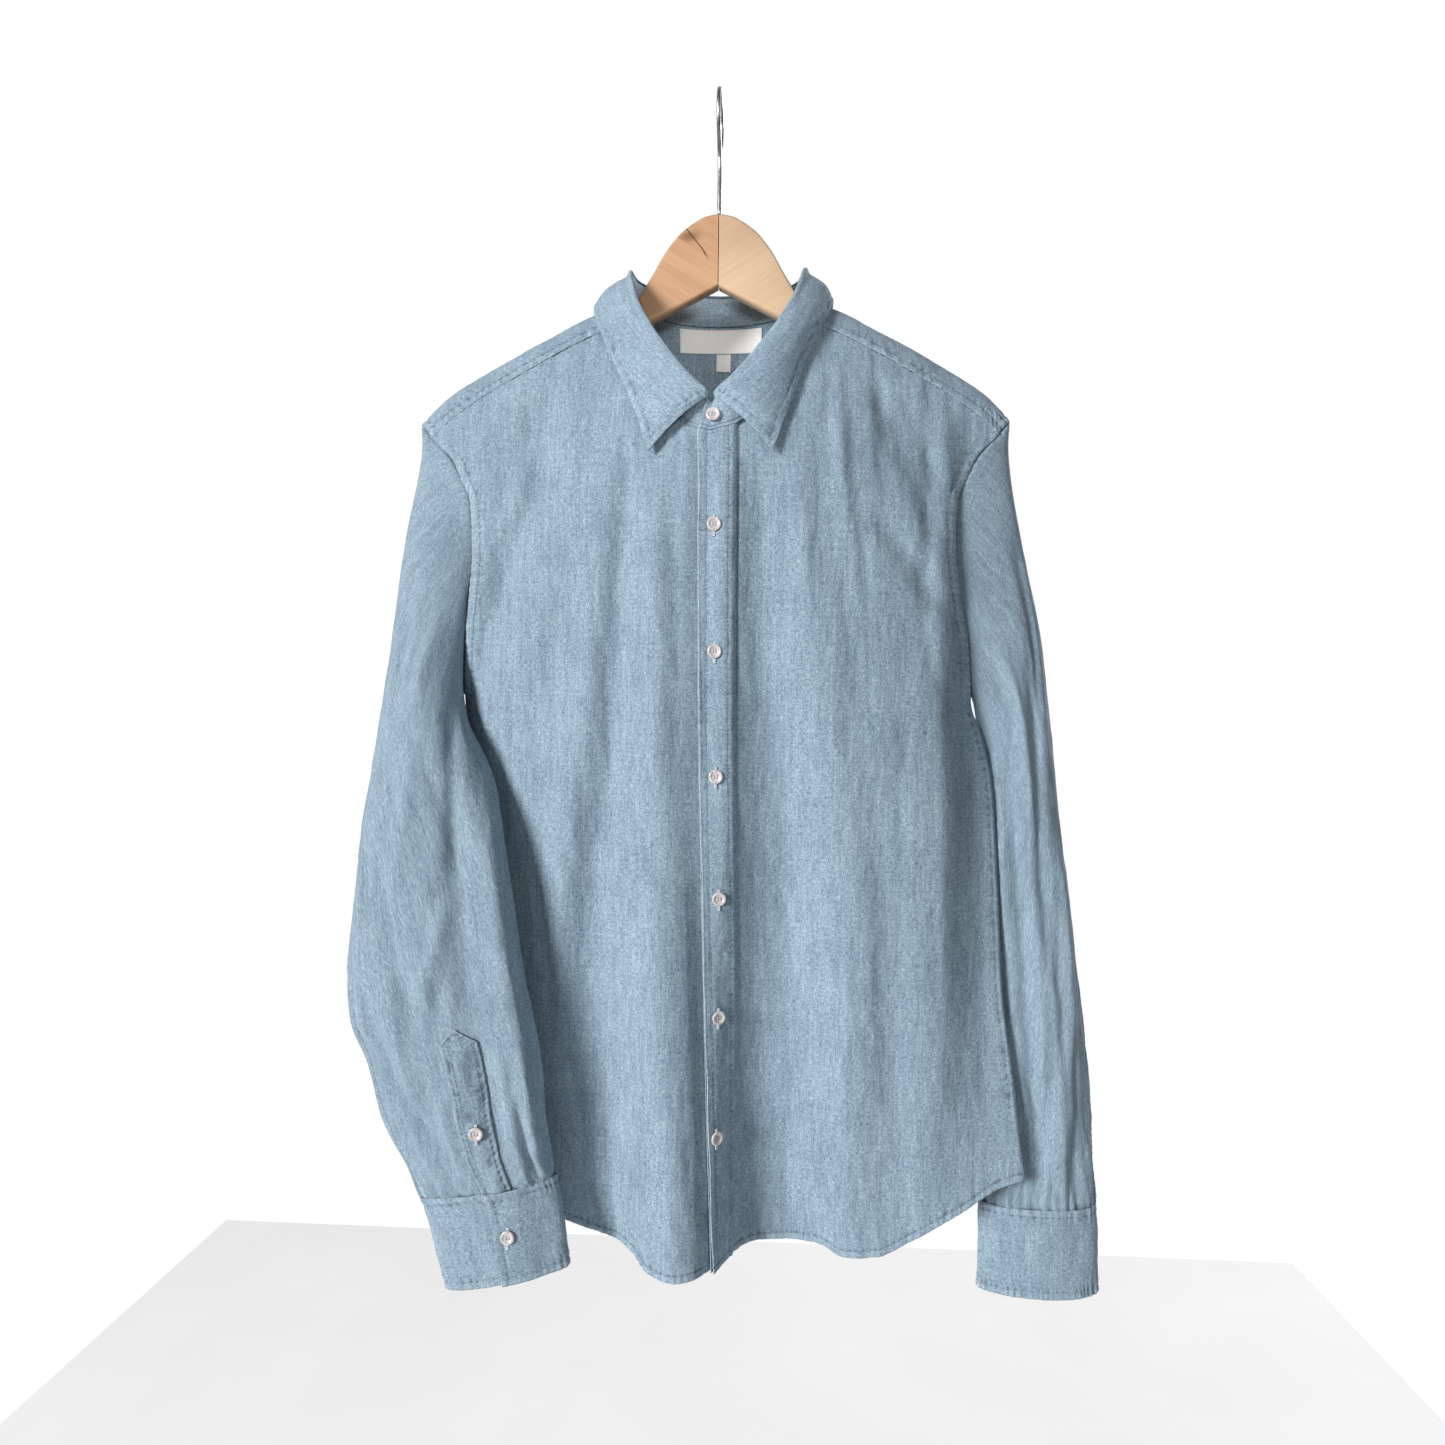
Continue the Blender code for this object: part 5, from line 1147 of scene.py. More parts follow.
def fine_sleeve(side):
    """The sleeve's rings read finely, with its folds: creases along lines and
    random ridges that run down the sleeve."""
    angles, coarse, out = sleeve_grid(side)
    wrap = np.concatenate([coarse[-3:], coarse, coarse[:3]])
    knots = np.concatenate([angles[-3:] - 360, angles, angles[:3] + 360])
    at = np.arange(0, 360, 360 / 132)
    rows = np.concatenate([np.linspace(0, 1, 9), np.linspace(1, 17, 176)[1:], np.linspace(17, 18, 24)[1:]])
    grid = between(wrap, knots, at)
    grid = np.swapaxes(between(np.swapaxes(grid, 0, 1), np.arange(coarse.shape[1]), rows), 0, 1)
    z = grid[..., 2]
    turn = at[:, None] + 0 * z
    free = ease((rows - 2.5) / 4)
    h = 1.3 * rumple(turn / 2.2, z, 11, 110, 600 + side)
    h = h + 0.75 * rumple(turn / 2.2 + 0.06 * z, z, 5, 40, 610 + side)
    low = ease((-600 - z) / 150)
    h = h * (0.6 + 0.75 * low) + 0.30 * rumple(turn / 2.0, z, 3, 11, 620 + side)
    h = h + 0.6 * low * rumple(turn / 2.0 - 0.12 * z, z, 3.5, 22, 625 + side)
    for first, top, last, end, deep, half in SLEEVE_CREASES[side]:
        t = (z - top) / (end - top)
        show = ease(t * 3.5 + 0.3) * ease((1 - t) * 3 + 0.3)
        h = h - deep * show * bell(turn - mix(first, last, t), half)
    normals = normals_of(grid, grid - grid.mean(axis=0, keepdims=True), ring=True)
    for _ in range(4):
        normals = unit(np.roll(normals, 1, 0) + normals * 2 + np.roll(normals, -1, 0))
    grid = grid + normals * (h * free)[..., None]
    if side < 0:
        near_edge = bell(turn - 160, np.where(turn < 160, 24, 9))
        grid[..., 1] -= 11.0 * near_edge * ease((-500 - z) / 100) * ease((z + 812) / 50)
    inside = clear_of_body(grid[:, 8:], side, at)
    grid[:, 8:] = mix(grid[:, 8:], inside, 0.9)
    return at, grid, normals, out_at(out, angles, at)


def sleeve_piece(side, word, material):
    """The sleeve's wall, with puckers at the armhole and the cuff and a felled
    seam that comes round from under the arm to the outer edge."""
    at, grid, normals, out = sleeves[side]
    z = grid[..., 2]
    turn = at[:, None] + 0 * z
    v = run(grid, 1)
    d_low = v[:, -1:] - v
    girth = run(np.concatenate([grid, grid[:1]]), 0)
    u = girth[:-1]
    around = girth[-1:]
    cuff_pull = ease((62 - d_low) / 60)
    h = 0.95 * cuff_pull * puckers(u, 8.5, 640 + side) * bell(d_low, 38)
    h = h + 0.4 * puckers(u, 4.4, 650 + side) * bell(d_low, 12) - 0.5 * bell(d_low, 2.2)
    h = h + 0.32 * puckers(z + turn * 0.3, 5.0, 660 + side) * bell(v - 1.5, 8) * ease(v / 2)
    seam_at = mix(196.0, 384.0 if side < 0 else 372.0, ease((ARMPIT_Z - z) / 245)) % 360
    off = (turn - seam_at + 180) % 360 - 180
    beside = off * around / 360
    line = -0.55 * bell(beside, 1.1) + 0.42 * plateau(beside - side * -4.5, 3.2)
    line = line + 0.3 * puckers(z, 4.6, 670 + side) * bell(beside + 3 * side, 6)
    h = h + line * ease(v / 30) * ease((ARMPIT_Z - z) / 20)
    grid = grid + normals * h[..., None]
    # Paler on the felled seam's ridge and pucker tops from abrasion; darker in the seam's groove and pucker
    # valleys, which is painted shade.
    wear_and_shade = np.clip(1.3 * line, -1, 1) * ease((ARMPIT_Z - z) / 20)
    wear_and_shade = wear_and_shade + np.clip(h * 0.5, -0.5, 0.5) * bell(d_low, 30)
    wear_and_shade = wear_and_shade + np.clip(1.5 * h, -0.7, 0.7) * bell(v, 12)
    first = grid[:, 0] + unit(grid[:, 0] - grid[:, 1]) * 3.2 - out * 1.7
    last = grid[:, -1] + unit(grid[:, -1] - grid[:, -6]) * 5.0 - normals[:, -1] * 1.5
    grid = np.concatenate([first[:, None], grid, last[:, None]], 1)
    normals = np.concatenate([normals[:, :1], normals, normals[:, -1:]], 1)
    wear_and_shade = np.concatenate([wear_and_shade[:, :1], wear_and_shade, wear_and_shade[:, -1:]], 1)
    add_cloth("sewn_sleeve_" + word, grid, normals, 0.75, material, ring=True, wear_and_shade=wear_and_shade,
                     nodes=("sleeve_" + word,))


def out_at(out, angles, at):
    """The body's outward direction at the armhole, read at other angles."""
    wrap = np.concatenate([out[-2:], out, out[:2]])
    knots = np.concatenate([angles[-2:] - 360, angles, angles[:2] + 360])
    return unit(between(wrap, knots, at))


def tower_placket(side, word, material):
    """The strip on the sleeve's slit: it lies on the sleeve between two angles,
    narrows to a point at the top and has a stitched, wavy margin."""
    at, grid, normals, _ = sleeves[side]
    picked = np.linspace(GAUNTLET_ANGLES[side][0], GAUNTLET_ANGLES[side][-1], 21)
    base = between(grid, at, picked)
    facing = unit(between(normals, at, picked))
    height = base[:, :, 2].mean(axis=0) - base[:, -1, 2].mean()
    reach = GAUNTLET_LENGTH + GAUNTLET_POINT
    wanted = np.concatenate([np.linspace(reach, GAUNTLET_LENGTH - 4, 12),
                             np.linspace(GAUNTLET_LENGTH - 4, 0, 92)[1:]])
    place = np.interp(-wanted, -height, np.arange(len(height)))
    base = np.swapaxes(between(np.swapaxes(base, 0, 1), np.arange(len(height)), place), 0, 1)
    facing = unit(np.swapaxes(between(np.swapaxes(facing, 0, 1), np.arange(len(height)), place), 0, 1))
    narrow = np.clip((reach - wanted) / GAUNTLET_POINT, 0.06, 1)
    middle = base.mean(axis=0, keepdims=True)
    strip = mix(middle, base, narrow[None, :, None])
    u = run(strip, 0)
    v = run(strip, 1)
    edge = np.minimum(u, u[-1:] - u)
    top = (reach - wanted)[None, :] + 0 * u
    edge = np.minimum(edge, top * 0.7 + 0.2)
    h = seam(edge, v, 700 + side, margin=2.6, roll=0.4, pull=0.3, period=5.0, reach=4)
    h = h + 0.5 * rumple(u, v, 5, 9, 710 + side) * ease(edge / 3)
    for bar in (GAUNTLET_LENGTH - 30, GAUNTLET_LENGTH - 34):
        h = h - 0.4 * bell(wanted - bar, 0.9)[None]
    wave = 1.1 * wander(v, 17, 720 + side) * ease(v / 20) * ease((v[:, -1:] - v) / 10)
    tangent = unit(np.gradient(strip, axis=0))
    strip = strip + tangent * wave[..., None] + facing * (CLOTH + LAYER - 0.1 + h)[..., None]
    for k in (4, -5):
        stitches(strip[k, 8:], facing[k, 8:], long=1.9, every=2.7)
    row = nearest(wanted, 46)
    tower_buttons[side] = (strip[10, row], facing[10, row])
    add_cloth("sewn_sleeve_placket_" + word, strip, facing, 0.9, material, wear_and_shade=rub_and_groove_shade(h, edge, 0.8),
                     nodes=("sleeve_placket_" + word,))


def cuff_band(side, word, material):
    """A stitched band round the wrist; its outer end lies over the other one."""
    first = GAUNTLET_ANGLES[side][0]
    around = np.concatenate([[0, 0.25, 0.6, 1.2], np.linspace(2.4, 377, 196), [379, 379.6, 380]])
    angles = first + around
    z_top = SLEEVE_END_Z[side] - SEAM + 0.3
    t = np.concatenate([np.linspace(0, 0.14, 8), np.linspace(0.14, 0.86, 26)[1:-1], np.linspace(0.86, 1, 10)])
    z = (z_top + SLEEVE_END_TILT[side] * np.cos(np.radians(angles)))[:, None] - (CUFF_HEIGHT + 1.0) * t
    x, y = sleeve_section(angles[:, None], z, side)
    grid = np.stack([x, y, z], -1)
    normals = normals_of(grid, grid - grid.mean(axis=0, keepdims=True))
    u = run(grid, 0)
    v = run(grid, 1)
    ends = np.minimum(u, u[-1:] - u)
    low = v[:, -1:] - v
    h = seam(low, u, 800 + side, margin=5.4, roll=0.35, pull=0.4, period=4.0, reach=5)
    h = h + seam(v, u, 810 + side, margin=5.0, roll=0.3, pull=0.34, period=5.2, reach=5)
    h = h + seam(ends, v, 820 + side, margin=5.0, roll=0.25, pull=0.35, period=4.2, reach=4) * (ends < 14)
    d = np.minimum(np.minimum(ends, low), v)
    wear_and_shade = rub_and_groove_shade(h, d, 0.7)
    h = h + 0.7 * rumple(u, v, 15, 22, 830 + side) + 0.3 * rumple(u, v, 6, 7, 840 + side)
    lift = (CLOTH + LAYER + 0.4) * ease((46 - around) / 22)
    grid = grid + normals * (lift[:, None] + h + 0.3)[..., None]
    for j in (8, -10):
        stitches(grid[6:-4, j], normals[6:-4, j])
    k = nearest(u[:, 20], 5.0)
    stitches(grid[k, 8:-9], normals[k, 8:-9])
    near = nearest(around, 12)
    middle = nearest(t, 0.5)
    cuff_buttons[side] = (grid[near, middle], normals[near, middle])
    add_cloth("sewn_cuff_" + word, grid, normals, 1.2, material, wear_and_shade=wear_and_shade, nodes=("cuff_" + word,))


# ---- buttons and their holes -------------------------------------------------------------
# radius and height of a button's outline, from the middle of its face to that of its back
BUTTON_PROFILE = ((0.0, 1.15), (1.9, 1.15), (2.5, 1.3), (3.1, 1.75), (3.6, 2.1), (4.1, 2.2), (4.6, 2.1),
                  (4.95, 1.75), (5.1, 1.3), (5.0, 0.9), (4.5, 0.55), (3.4, 0.4), (0.0, 0.4))
# radius and height of the near-black disc laid at each hole: painted shade for the hole's inside
HOLE_PROFILE = ((0.0, 1.22), (0.5, 1.22), (0.56, 1.1), (0.0, 0.8))
HOLE_OFF = 0.95            # centre of the button to each hole, both ways


def button_axes(direction):
    """A button's axis, and its directions across and up."""
    axis = unit(np.asarray(direction, float))
    across = unit(np.cross(axis, (0, 0.0, 1.0)))
    return axis, across, np.cross(across, axis)


def turned(profile, place, direction, sides=40):
    """Rings of a turned profile and its closed faces; both ends are points."""
    axis, across, upward = button_axes(direction)
    turn = np.arange(sides) * 2 * math.pi / sides
    spokes = np.outer(np.cos(turn), across) + np.outer(np.sin(turn), upward)
    profile = np.asarray(profile, float)
    rings = place + axis * profile[1:-1, 1][:, None, None] + spokes[None] * profile[1:-1, 0][:, None, None]
    points = np.concatenate([rings.reshape(-1, 3), place + axis * profile[[0, -1], 1:]])
    count = len(profile) - 2
    faces = wrapped(count, sides)[:-2]
    i = np.arange(sides)
    n = (i + 1) % sides
    top = np.stack([0 * i + count * sides, n, i], 1)
    low = np.stack([0 * i + count * sides + 1, i + (count - 1) * sides, n + (count - 1) * sides], 1)
    return points, [face[::-1] for face in faces + top.tolist() + low.tolist()]


def shirt_button(name, place, direction, looks, slit=True):
    """A dished disc whose four holes are near-black discs on its face, painted shade, with
    the thread through them and the sewn buttonhole behind it."""
    axis, across, upward = button_axes(direction)
    points, faces = turned(BUTTON_PROFILE, place, direction)
    disc = add_object("turned_" + name, settled_like(points, place), faces, looks["button"])
    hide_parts(name)
    parts = []
    # each hole is a near-black disc, painted shade, set just over the face
    for a, b in ((-1, -1), (-1, 1), (1, -1), (1, 1)):
        parts.append(turned(HOLE_PROFILE, place + across * HOLE_OFF * a + upward * HOLE_OFF * b, direction, 12))
    points, faces = joined(parts)
    dark = add_object(name + "_hole_shades", settled_like(points, place), faces, looks["hole"])
    parts = []
    for a in (-1, 1):
        start = place + across * HOLE_OFF * a - upward * 1.05 + axis * 1.1
        stop = start + upward * 2.1
        t = np.linspace(0, 1, 9)[:, None]
        path = mix(start, stop, t) + axis * 0.45 * np.sin(math.pi * t) + across * 0.08 * a
        parts.append(tube(path, 0.27, 8))
    if slit:
        turn = np.linspace(0, 2 * math.pi, 48, endpoint=False)
        loop = (place + np.outer(np.clip(np.cos(turn) * 0.9, -0.52, 0.52), across)
                + np.outer(np.sin(turn) * 7.2 - 0.9, upward) + axis * 0.2)
        parts.append(tube(loop, 0.5, 8, ring=True))
        for end in (-8.1, 6.3):
            bar = place + np.outer(np.linspace(-1.0, 1.0, 7), across) + upward * end + axis * 0.3
            parts.append(tube(bar, 0.42, 8))
    points, faces = joined(parts)
    thread = add_object(name + "_thread", settled_like(points, place), faces, looks["pale_thread"])


def settled_like(points, place):
    """Move a small piece as a whole, by the shift that its place gets."""
    place = np.asarray(place, float)
    return points + (settled(place[None]) - place[None])


def tube(path, radius, sides, ring=False):
    """A round tube along a path: rings square to it, closed at its ends."""
    path = np.asarray(path, float)
    if ring:
        along = unit(np.roll(path, -1, 0) - np.roll(path, 1, 0))
    else:
        along = unit(np.gradient(path, axis=0))
    lean = np.array((0.31, 0.2, 0.93)) if abs(along[0, 2]) < 0.8 else np.array((1.0, 0.1, 0.05))
    one = unit(np.cross(along, lean))
    two = np.cross(along, one)
    turn = np.arange(sides) * 2 * math.pi / sides
    points = path[:, None] + radius * (one[:, None] * np.cos(turn)[None, :, None]
                                       + two[:, None] * np.sin(turn)[None, :, None])
    faces = wrapped(len(path), sides, ring)
    if np.sum(np.cross(one[0], two[0]) * along[0]) < 0:
        faces = [face[::-1] for face in faces]
    return points.reshape(-1, 3), faces


def joined(parts):
    """Several small closed shapes in one list of points and faces."""
    points = []
    faces = []
    count = 0
    for some, cut in parts:
        points.append(some)
        faces += [[i + count for i in face] for face in cut]
        count += len(some)
    return np.concatenate(points), faces


def buttons(looks):
    """Six down the placket, one on the band, and those on sleeves and cuffs."""
    for number, (x, z) in enumerate(zip(BUTTON_X, BUTTON_ROWS), start=1):
        near = np.array((x, float(hung_front(np.array(x), np.array(z))), z))
        out = surface_normal(x, z)
        shirt_button("button_front_%d" % number, near + out * (CLOTH + 2 * LAYER + 0.1), out, looks)
    x, z = NECK_BUTTON
    angle = math.degrees(math.asin(x / NECK_HALF))
    low = neck_edge(np.array([angle]))[0]
    high = fold_line(np.array([angle]))[0]
    share = (z - low[2]) / (high[2] - low[2])
    out = unit(np.cross((1.0, 0, 0), high - low))
    out = -out if out[1] > 0 else out
    lift = float(band_lift(angle)) + BAND_BULGE + 2 * LAYER + 0.3
    shirt_button("button_neck", mix(low, high, share) + out * lift, out, looks, slit=False)
    for side, word in ((-1, "right"), (+1, "left")):
        place, out = tower_buttons[side]
        shirt_button("button_gauntlet_" + word, place + out * 0.1, out, looks)
        place, out = cuff_buttons[side]
        shirt_button("button_cuff_" + word, place + out * 0.1, out, looks)


def sewing_thread(material):
    """All the stitches as one piece: each is a chain of six-sided rings."""
    points = np.concatenate(thread_seam)
    shape = wrapped(STITCH_RINGS, STITCH_SIDES)
    each = STITCH_RINGS * STITCH_SIDES
    base = np.arange(len(points) // each)[:, None, None] * each
    faces = []
    for some in (shape[:-2], shape[-2:]):
        faces += (base + np.array(some)[:, ::-1]).reshape(-1, len(some[0])).tolist()
    thing = add_object("sewing_thread", points, faces, material)


# ---- label ---------------------------------------------------------------------------------
def inside_patch(name, left, right, top, bottom, thick, material, sag):
    """A bare woven label sewn inside the back neck: flat on the cloth, with its
    free edges a little off it and a turned-in end at both sides."""
    x, z = np.meshgrid(np.linspace(left, right, 60), np.linspace(top, bottom, 26), indexing="ij")
    y = back_y(x, z)
    grid = np.stack([x, y, z], -1)
    normals = normals_of(grid, (0, 1, 0))
    u = (x - left) / (right - left)
    v = (top - z) / (top - bottom)
    ends = np.minimum(x - left, right - x)
    h = -(CLOTH + LAYER + 0.3) - sag * v**2 * (0.6 + 0.4 * np.cos(3.1 * u + 0.4))
    h = h - 0.25 * bell(ends - 2.2, 1.4)
    h = h + 0.12 * rumple(x, z, 9, 6, 901)
    grid = grid + normals * h[..., None]
    add_cloth("woven_" + name, grid[:, ::-1], -normals[:, ::-1], thick, material, nodes=(name,))


# ---- hanger --------------------------------------------------------------------------------
def wooden_arm(side, word, material):
    """Half of the hanger: rounded sections carried from the mitre to the end."""
    stations = np.concatenate([np.linspace(0.3, 60, 40), np.linspace(62, 195, 60),
                               np.linspace(196, ARM_END - 0.1, 14)])
    top = wood_top(stations)
    under = UNDER_Z - UNDER_SLOPE * stations
    end = np.clip((stations - 195) / (ARM_END - 195), 0, 1)
    top = top - 5.0 * end**3
    under = under + 7.0 * end**3
    half = WOOD_THICK / 2
    turn = np.radians(np.concatenate([np.linspace(0, 90, 7) + a for a in (0, 90, 180, 270)]))
    rounding = WOOD_ROUND * (0.55 + 0.45 * ease(stations / 60))
    r = np.minimum(np.minimum(rounding, (top - under) / 2 - 0.3), half - 0.2)
    quadrant = np.repeat(np.arange(4), 7)
    sign_y = np.array((1, -1, -1, 1))[quadrant]
    sign_z = np.array((1, 1, -1, -1))[quadrant]
    middle = (top + under) / 2
    tall = (top - under) / 2
    y = sign_y[None] * (half - r)[:, None] + r[:, None] * np.cos(turn)[None]
    z = middle[:, None] + sign_z[None] * (tall - r)[:, None] + r[:, None] * np.sin(turn)[None]
    x = side * stations[:, None] + 0 * y
    points = np.stack([x, y, z], -1).reshape(-1, 3)
    faces = wrapped(len(stations), len(turn))
    if side > 0:
        faces = [face[::-1] for face in faces]
    thing = add_object("carved_hanger_arm_" + word, settled(points), faces, material)
    thing.data.set_sharp_from_angle(angle=math.radians(40))
    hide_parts("hanger_arm_" + word)


def wire_hook(material):
    """A wire: up from the wood, out to one side and over in a round bend."""
    centre_z = WIRE_RADIUS - HOOK_RADIUS
    bend = np.radians(np.linspace(-128, 118, 90))
    loop = np.stack([0 * bend, HOOK_RADIUS * np.sin(bend), centre_z + HOOK_RADIUS * np.cos(bend)], -1)
    stem_z = np.linspace(STEM_BOTTOM_Z, STEM_TOP_Z, 12)
    stem = np.stack([0 * stem_z, 0 * stem_z, stem_z], -1)
    start = stem[-1]
    stop = loop[0]
    tangent = np.array((0, math.cos(bend[0]), -math.sin(bend[0])))
    t = np.linspace(0, 1, 26)[1:-1, None]
    join = ((1 - t) ** 3 * start + 3 * (1 - t) ** 2 * t * (start + np.array((0, 0, HOOK_PULL)))
            + 3 * (1 - t) * t**2 * (stop - tangent * HOOK_PULL) + t**3 * stop)
    path = np.concatenate([stem, join, loop])
    along = unit(np.gradient(path, axis=0))
    sides = 24
    turn = np.arange(sides) * 2 * math.pi / sides
    across = np.array((1.0, 0, 0))
    other = np.cross(along, across)
    points = path[:, None] + WIRE_RADIUS * (np.cos(turn)[None, :, None] * across
                                            + np.sin(turn)[None, :, None] * other[:, None])
    tip = path[-1:] + along[-1:] * np.array((0.5, 0.86, 1.0))[:, None] * WIRE_RADIUS
    caps = tip[:, None] + WIRE_RADIUS * np.array((0.86, 0.5, 0.03))[:, None, None] * (
        np.cos(turn)[None, :, None] * across + np.sin(turn)[None, :, None] * other[-1][None, None])
    points = np.concatenate([points, caps]).reshape(-1, 3)
    faces = wrapped(len(path) + 3, sides)
    thing = add_object("bent_hanger_hook", points, [face[::-1] for face in faces], material)
    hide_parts("hanger_hook")


# ---- looks --------------------------------------------------------------------------------
class Surface:
    """A material's node tree, with short ways to add and join its nodes."""

    def __init__(self, name, roughness, metallic=0.0):
        self.material = bpy.data.materials.new(name)
        self.material.use_nodes = True
        self.nodes = self.material.node_tree.nodes
        self.links = self.material.node_tree.links
        self.shader = self.nodes["Principled BSDF"]
        self.shader.inputs["Roughness"].default_value = roughness
        self.shader.inputs["Metallic"].default_value = metallic

    def node(self, kind, **settings):
        made = self.nodes.new(kind)
        for key, value in settings.items():
            setattr(made, key, value)
        return made

    def put(self, source, target):
        """Join an output to an input."""
        self.links.new(source, target)

    def cloth_map(self):
        """The piece's own flat map, in metres."""
        return self.node("ShaderNodeUVMap", uv_map="cloth").outputs["UV"]

    def object_place(self):
        """The place on the piece in its object's coordinates, in metres."""
        return self.node("ShaderNodeTexCoord").outputs["Object"]

    def scaled(self, source, scale, turn=(0, 0, 0), move=(0, 0, 0)):
        """A pattern's coordinates: so many features in a metre each way."""
        made = self.node("ShaderNodeMapping")
        made.inputs["Scale"].default_value = scale
        made.inputs["Rotation"].default_value = turn
        made.inputs["Location"].default_value = move
        self.put(source, made.inputs["Vector"])
        return made.outputs["Vector"]

    def noise(self, source, scale, detail=2.0, rough=0.55, distortion=0.0):
        """Soft random light and dark, 0 to 1."""
        made = self.node("ShaderNodeTexNoise")
        made.inputs["Scale"].default_value = scale
        made.inputs["Detail"].default_value = detail
        made.inputs["Roughness"].default_value = rough
        made.inputs["Distortion"].default_value = distortion
        self.put(source, made.inputs["Vector"])
        return made.outputs["Fac"]

    def sums(self, operation, one, two):
        """A sum, difference, product or absolute value of sockets and numbers."""
        made = self.node("ShaderNodeMath", operation=operation)
        for socket, value in zip(made.inputs, (one, two)):
            if isinstance(value, (int, float)):
                socket.default_value = value
            else:
                self.put(value, socket)
        return made.outputs["Value"]

    def spread(self, source, low, high, to_low=0.0, to_high=1.0):
        """A smooth step from one range to another."""
        made = self.node("ShaderNodeMapRange", interpolation_type="SMOOTHSTEP")
        for socket, value in zip(("From Min", "From Max", "To Min", "To Max"), (low, high, to_low, to_high)):
            made.inputs[socket].default_value = value
        self.put(source, made.inputs["Value"])
        return made.outputs["Result"]

    def ramp(self, source, stops):
        """Colours at places along a value."""
        made = self.node("ShaderNodeValToRGB")
        while len(made.color_ramp.elements) < len(stops):
            made.color_ramp.elements.new(0.5)
        for element, (place, colour) in zip(made.color_ramp.elements, stops):
            element.position = place
            element.color = (*colour, 1.0)
        self.put(source, made.inputs["Fac"])
        return made.outputs["Color"]

    def blend(self, share, one, colour):
        """A socket's colour with a share of a plain one over it."""
        made = self.node("ShaderNodeMix", data_type="RGBA")
        made.inputs["B"].default_value = (*colour, 1.0)
        self.put(share, made.inputs["Factor"])
        self.put(one, made.inputs["A"])
        return made.outputs["Result"]

    def colour(self, source):
        """Make a socket the base colour."""
        self.put(source, self.shader.inputs["Base Color"])

    def relief(self, height, strength, deep, below=None):
        """Fine height that only bends the shading, on top of an earlier one."""
        made = self.node("ShaderNodeBump")
        made.inputs["Strength"].default_value = strength
        made.inputs["Distance"].default_value = deep
        self.put(height, made.inputs["Height"])
        if below is not None:
            self.put(below, made.inputs["Normal"])
        self.put(made.outputs["Normal"], self.shader.inputs["Normal"])
        return made.outputs["Normal"]


def chambray():
    """Blue warp and white weft: fine uneven yarns both ways, long paler and darker
    streaks down the warp, slubs across, seams paler on their abraded ridges and darker in their grooves, which
    is painted shade."""
    s = Surface("chambray", 0.88)
    place = s.cloth_map()
    warp = s.noise(s.scaled(place, (1500, 330, 1)), 1.0, 2.0, 0.6)
    warp_wide = s.noise(s.scaled(place, (560, 55, 1), move=(3, 1, 0)), 1.0, 3.0, 0.6)
    streak = s.noise(s.scaled(place, (170, 12, 1), move=(7, 2, 0)), 1.0, 2.0, 0.5)
    weft = s.noise(s.scaled(place, (300, 1500, 1), move=(1, 5, 0)), 1.0, 2.0, 0.6)
    weft_wide = s.noise(s.scaled(place, (30, 520, 1), move=(6, 5, 0)), 1.0, 2.0, 0.6)
    grain = s.noise(s.scaled(place, (1, 1, 1), move=(5, 5, 0)), 1350.0, 2.0, 0.75)
    cloud = s.noise(s.scaled(place, (26, 16, 1), move=(4, 4, 0)), 1.0, 3.0, 0.55)
    total = s.sums("MULTIPLY", s.spread(warp, 0.32, 0.68), 0.23)
    for part, low, high, share in ((warp_wide, 0.3, 0.7, 0.13), (streak, 0.3, 0.7, 0.06),
                                   (weft, 0.32, 0.68, 0.19), (weft_wide, 0.3, 0.7, 0.06),
                                   (grain, 0.34, 0.66, 0.26), (cloud, 0.3, 0.7, 0.07)):
        total = s.sums("ADD", total, s.sums("MULTIPLY", s.spread(part, low, high), share))
    colour = s.ramp(total, ((0.14, (0.066, 0.102, 0.142)), (0.38, (0.168, 0.236, 0.298)),
                            (0.62, (0.276, 0.364, 0.432)), (0.88, (0.480, 0.580, 0.650))))
    # The attribute holds abrasion on seam ridges and rims, and painted shade in their grooves.
    wear_and_shade = s.node("ShaderNodeAttribute", attribute_name="wear_and_shade").outputs["Fac"]
    broken_up = s.sums("ADD", wear_and_shade, s.sums("MULTIPLY", s.sums("SUBTRACT", grain, 0.5), 1.2))
    pale = s.spread(broken_up, 0.45, 1.5, 0.0, 0.50)
    # Painted shade: seam grooves and pucker valleys are darkened below the cloth's own darkest blue.
    deep = s.spread(s.sums("MULTIPLY", wear_and_shade, -1.0), 0.10, 0.9, 0.0, 0.62)
    colour = s.blend(pale, colour, (0.56, 0.63, 0.68))
    colour = s.blend(deep, colour, (0.060, 0.090, 0.125))
    s.colour(colour)
    crinkle = s.noise(s.scaled(place, (170, 75, 1), move=(8, 3, 0)), 1.0, 3.0, 0.6)
    first = s.relief(crinkle, 0.45, 0.0013)
    yarns = s.sums("ADD", warp, s.sums("ADD", weft, s.sums("MULTIPLY", grain, 0.8)))
    s.relief(yarns, 0.45, 0.0004, first)
    s.shader.inputs["Sheen Weight"].default_value = 0.08
    s.shader.inputs["Sheen Roughness"].default_value = 0.45
    s.shader.inputs["Specular IOR Level"].default_value = 0.18
    return s.material


def mottled(name, roughness, scale, dark, light, relief=None, detail=2.0):
    """A plain look: soft noise between two close colours, with a little relief."""
    s = Surface(name, roughness)
    soft = s.noise(s.scaled(s.object_place(), scale), 1.0, detail)
    s.colour(s.ramp(soft, ((0.3, dark), (0.7, light))))
    if relief:
        s.relief(soft, *relief)
    return s.material


def sewing_thread_look():
    return mottled("sewing_thread", 0.7, (900, 900, 900), (0.15, 0.235, 0.32), (0.33, 0.43, 0.51),
                   (0.3, 0.0002))


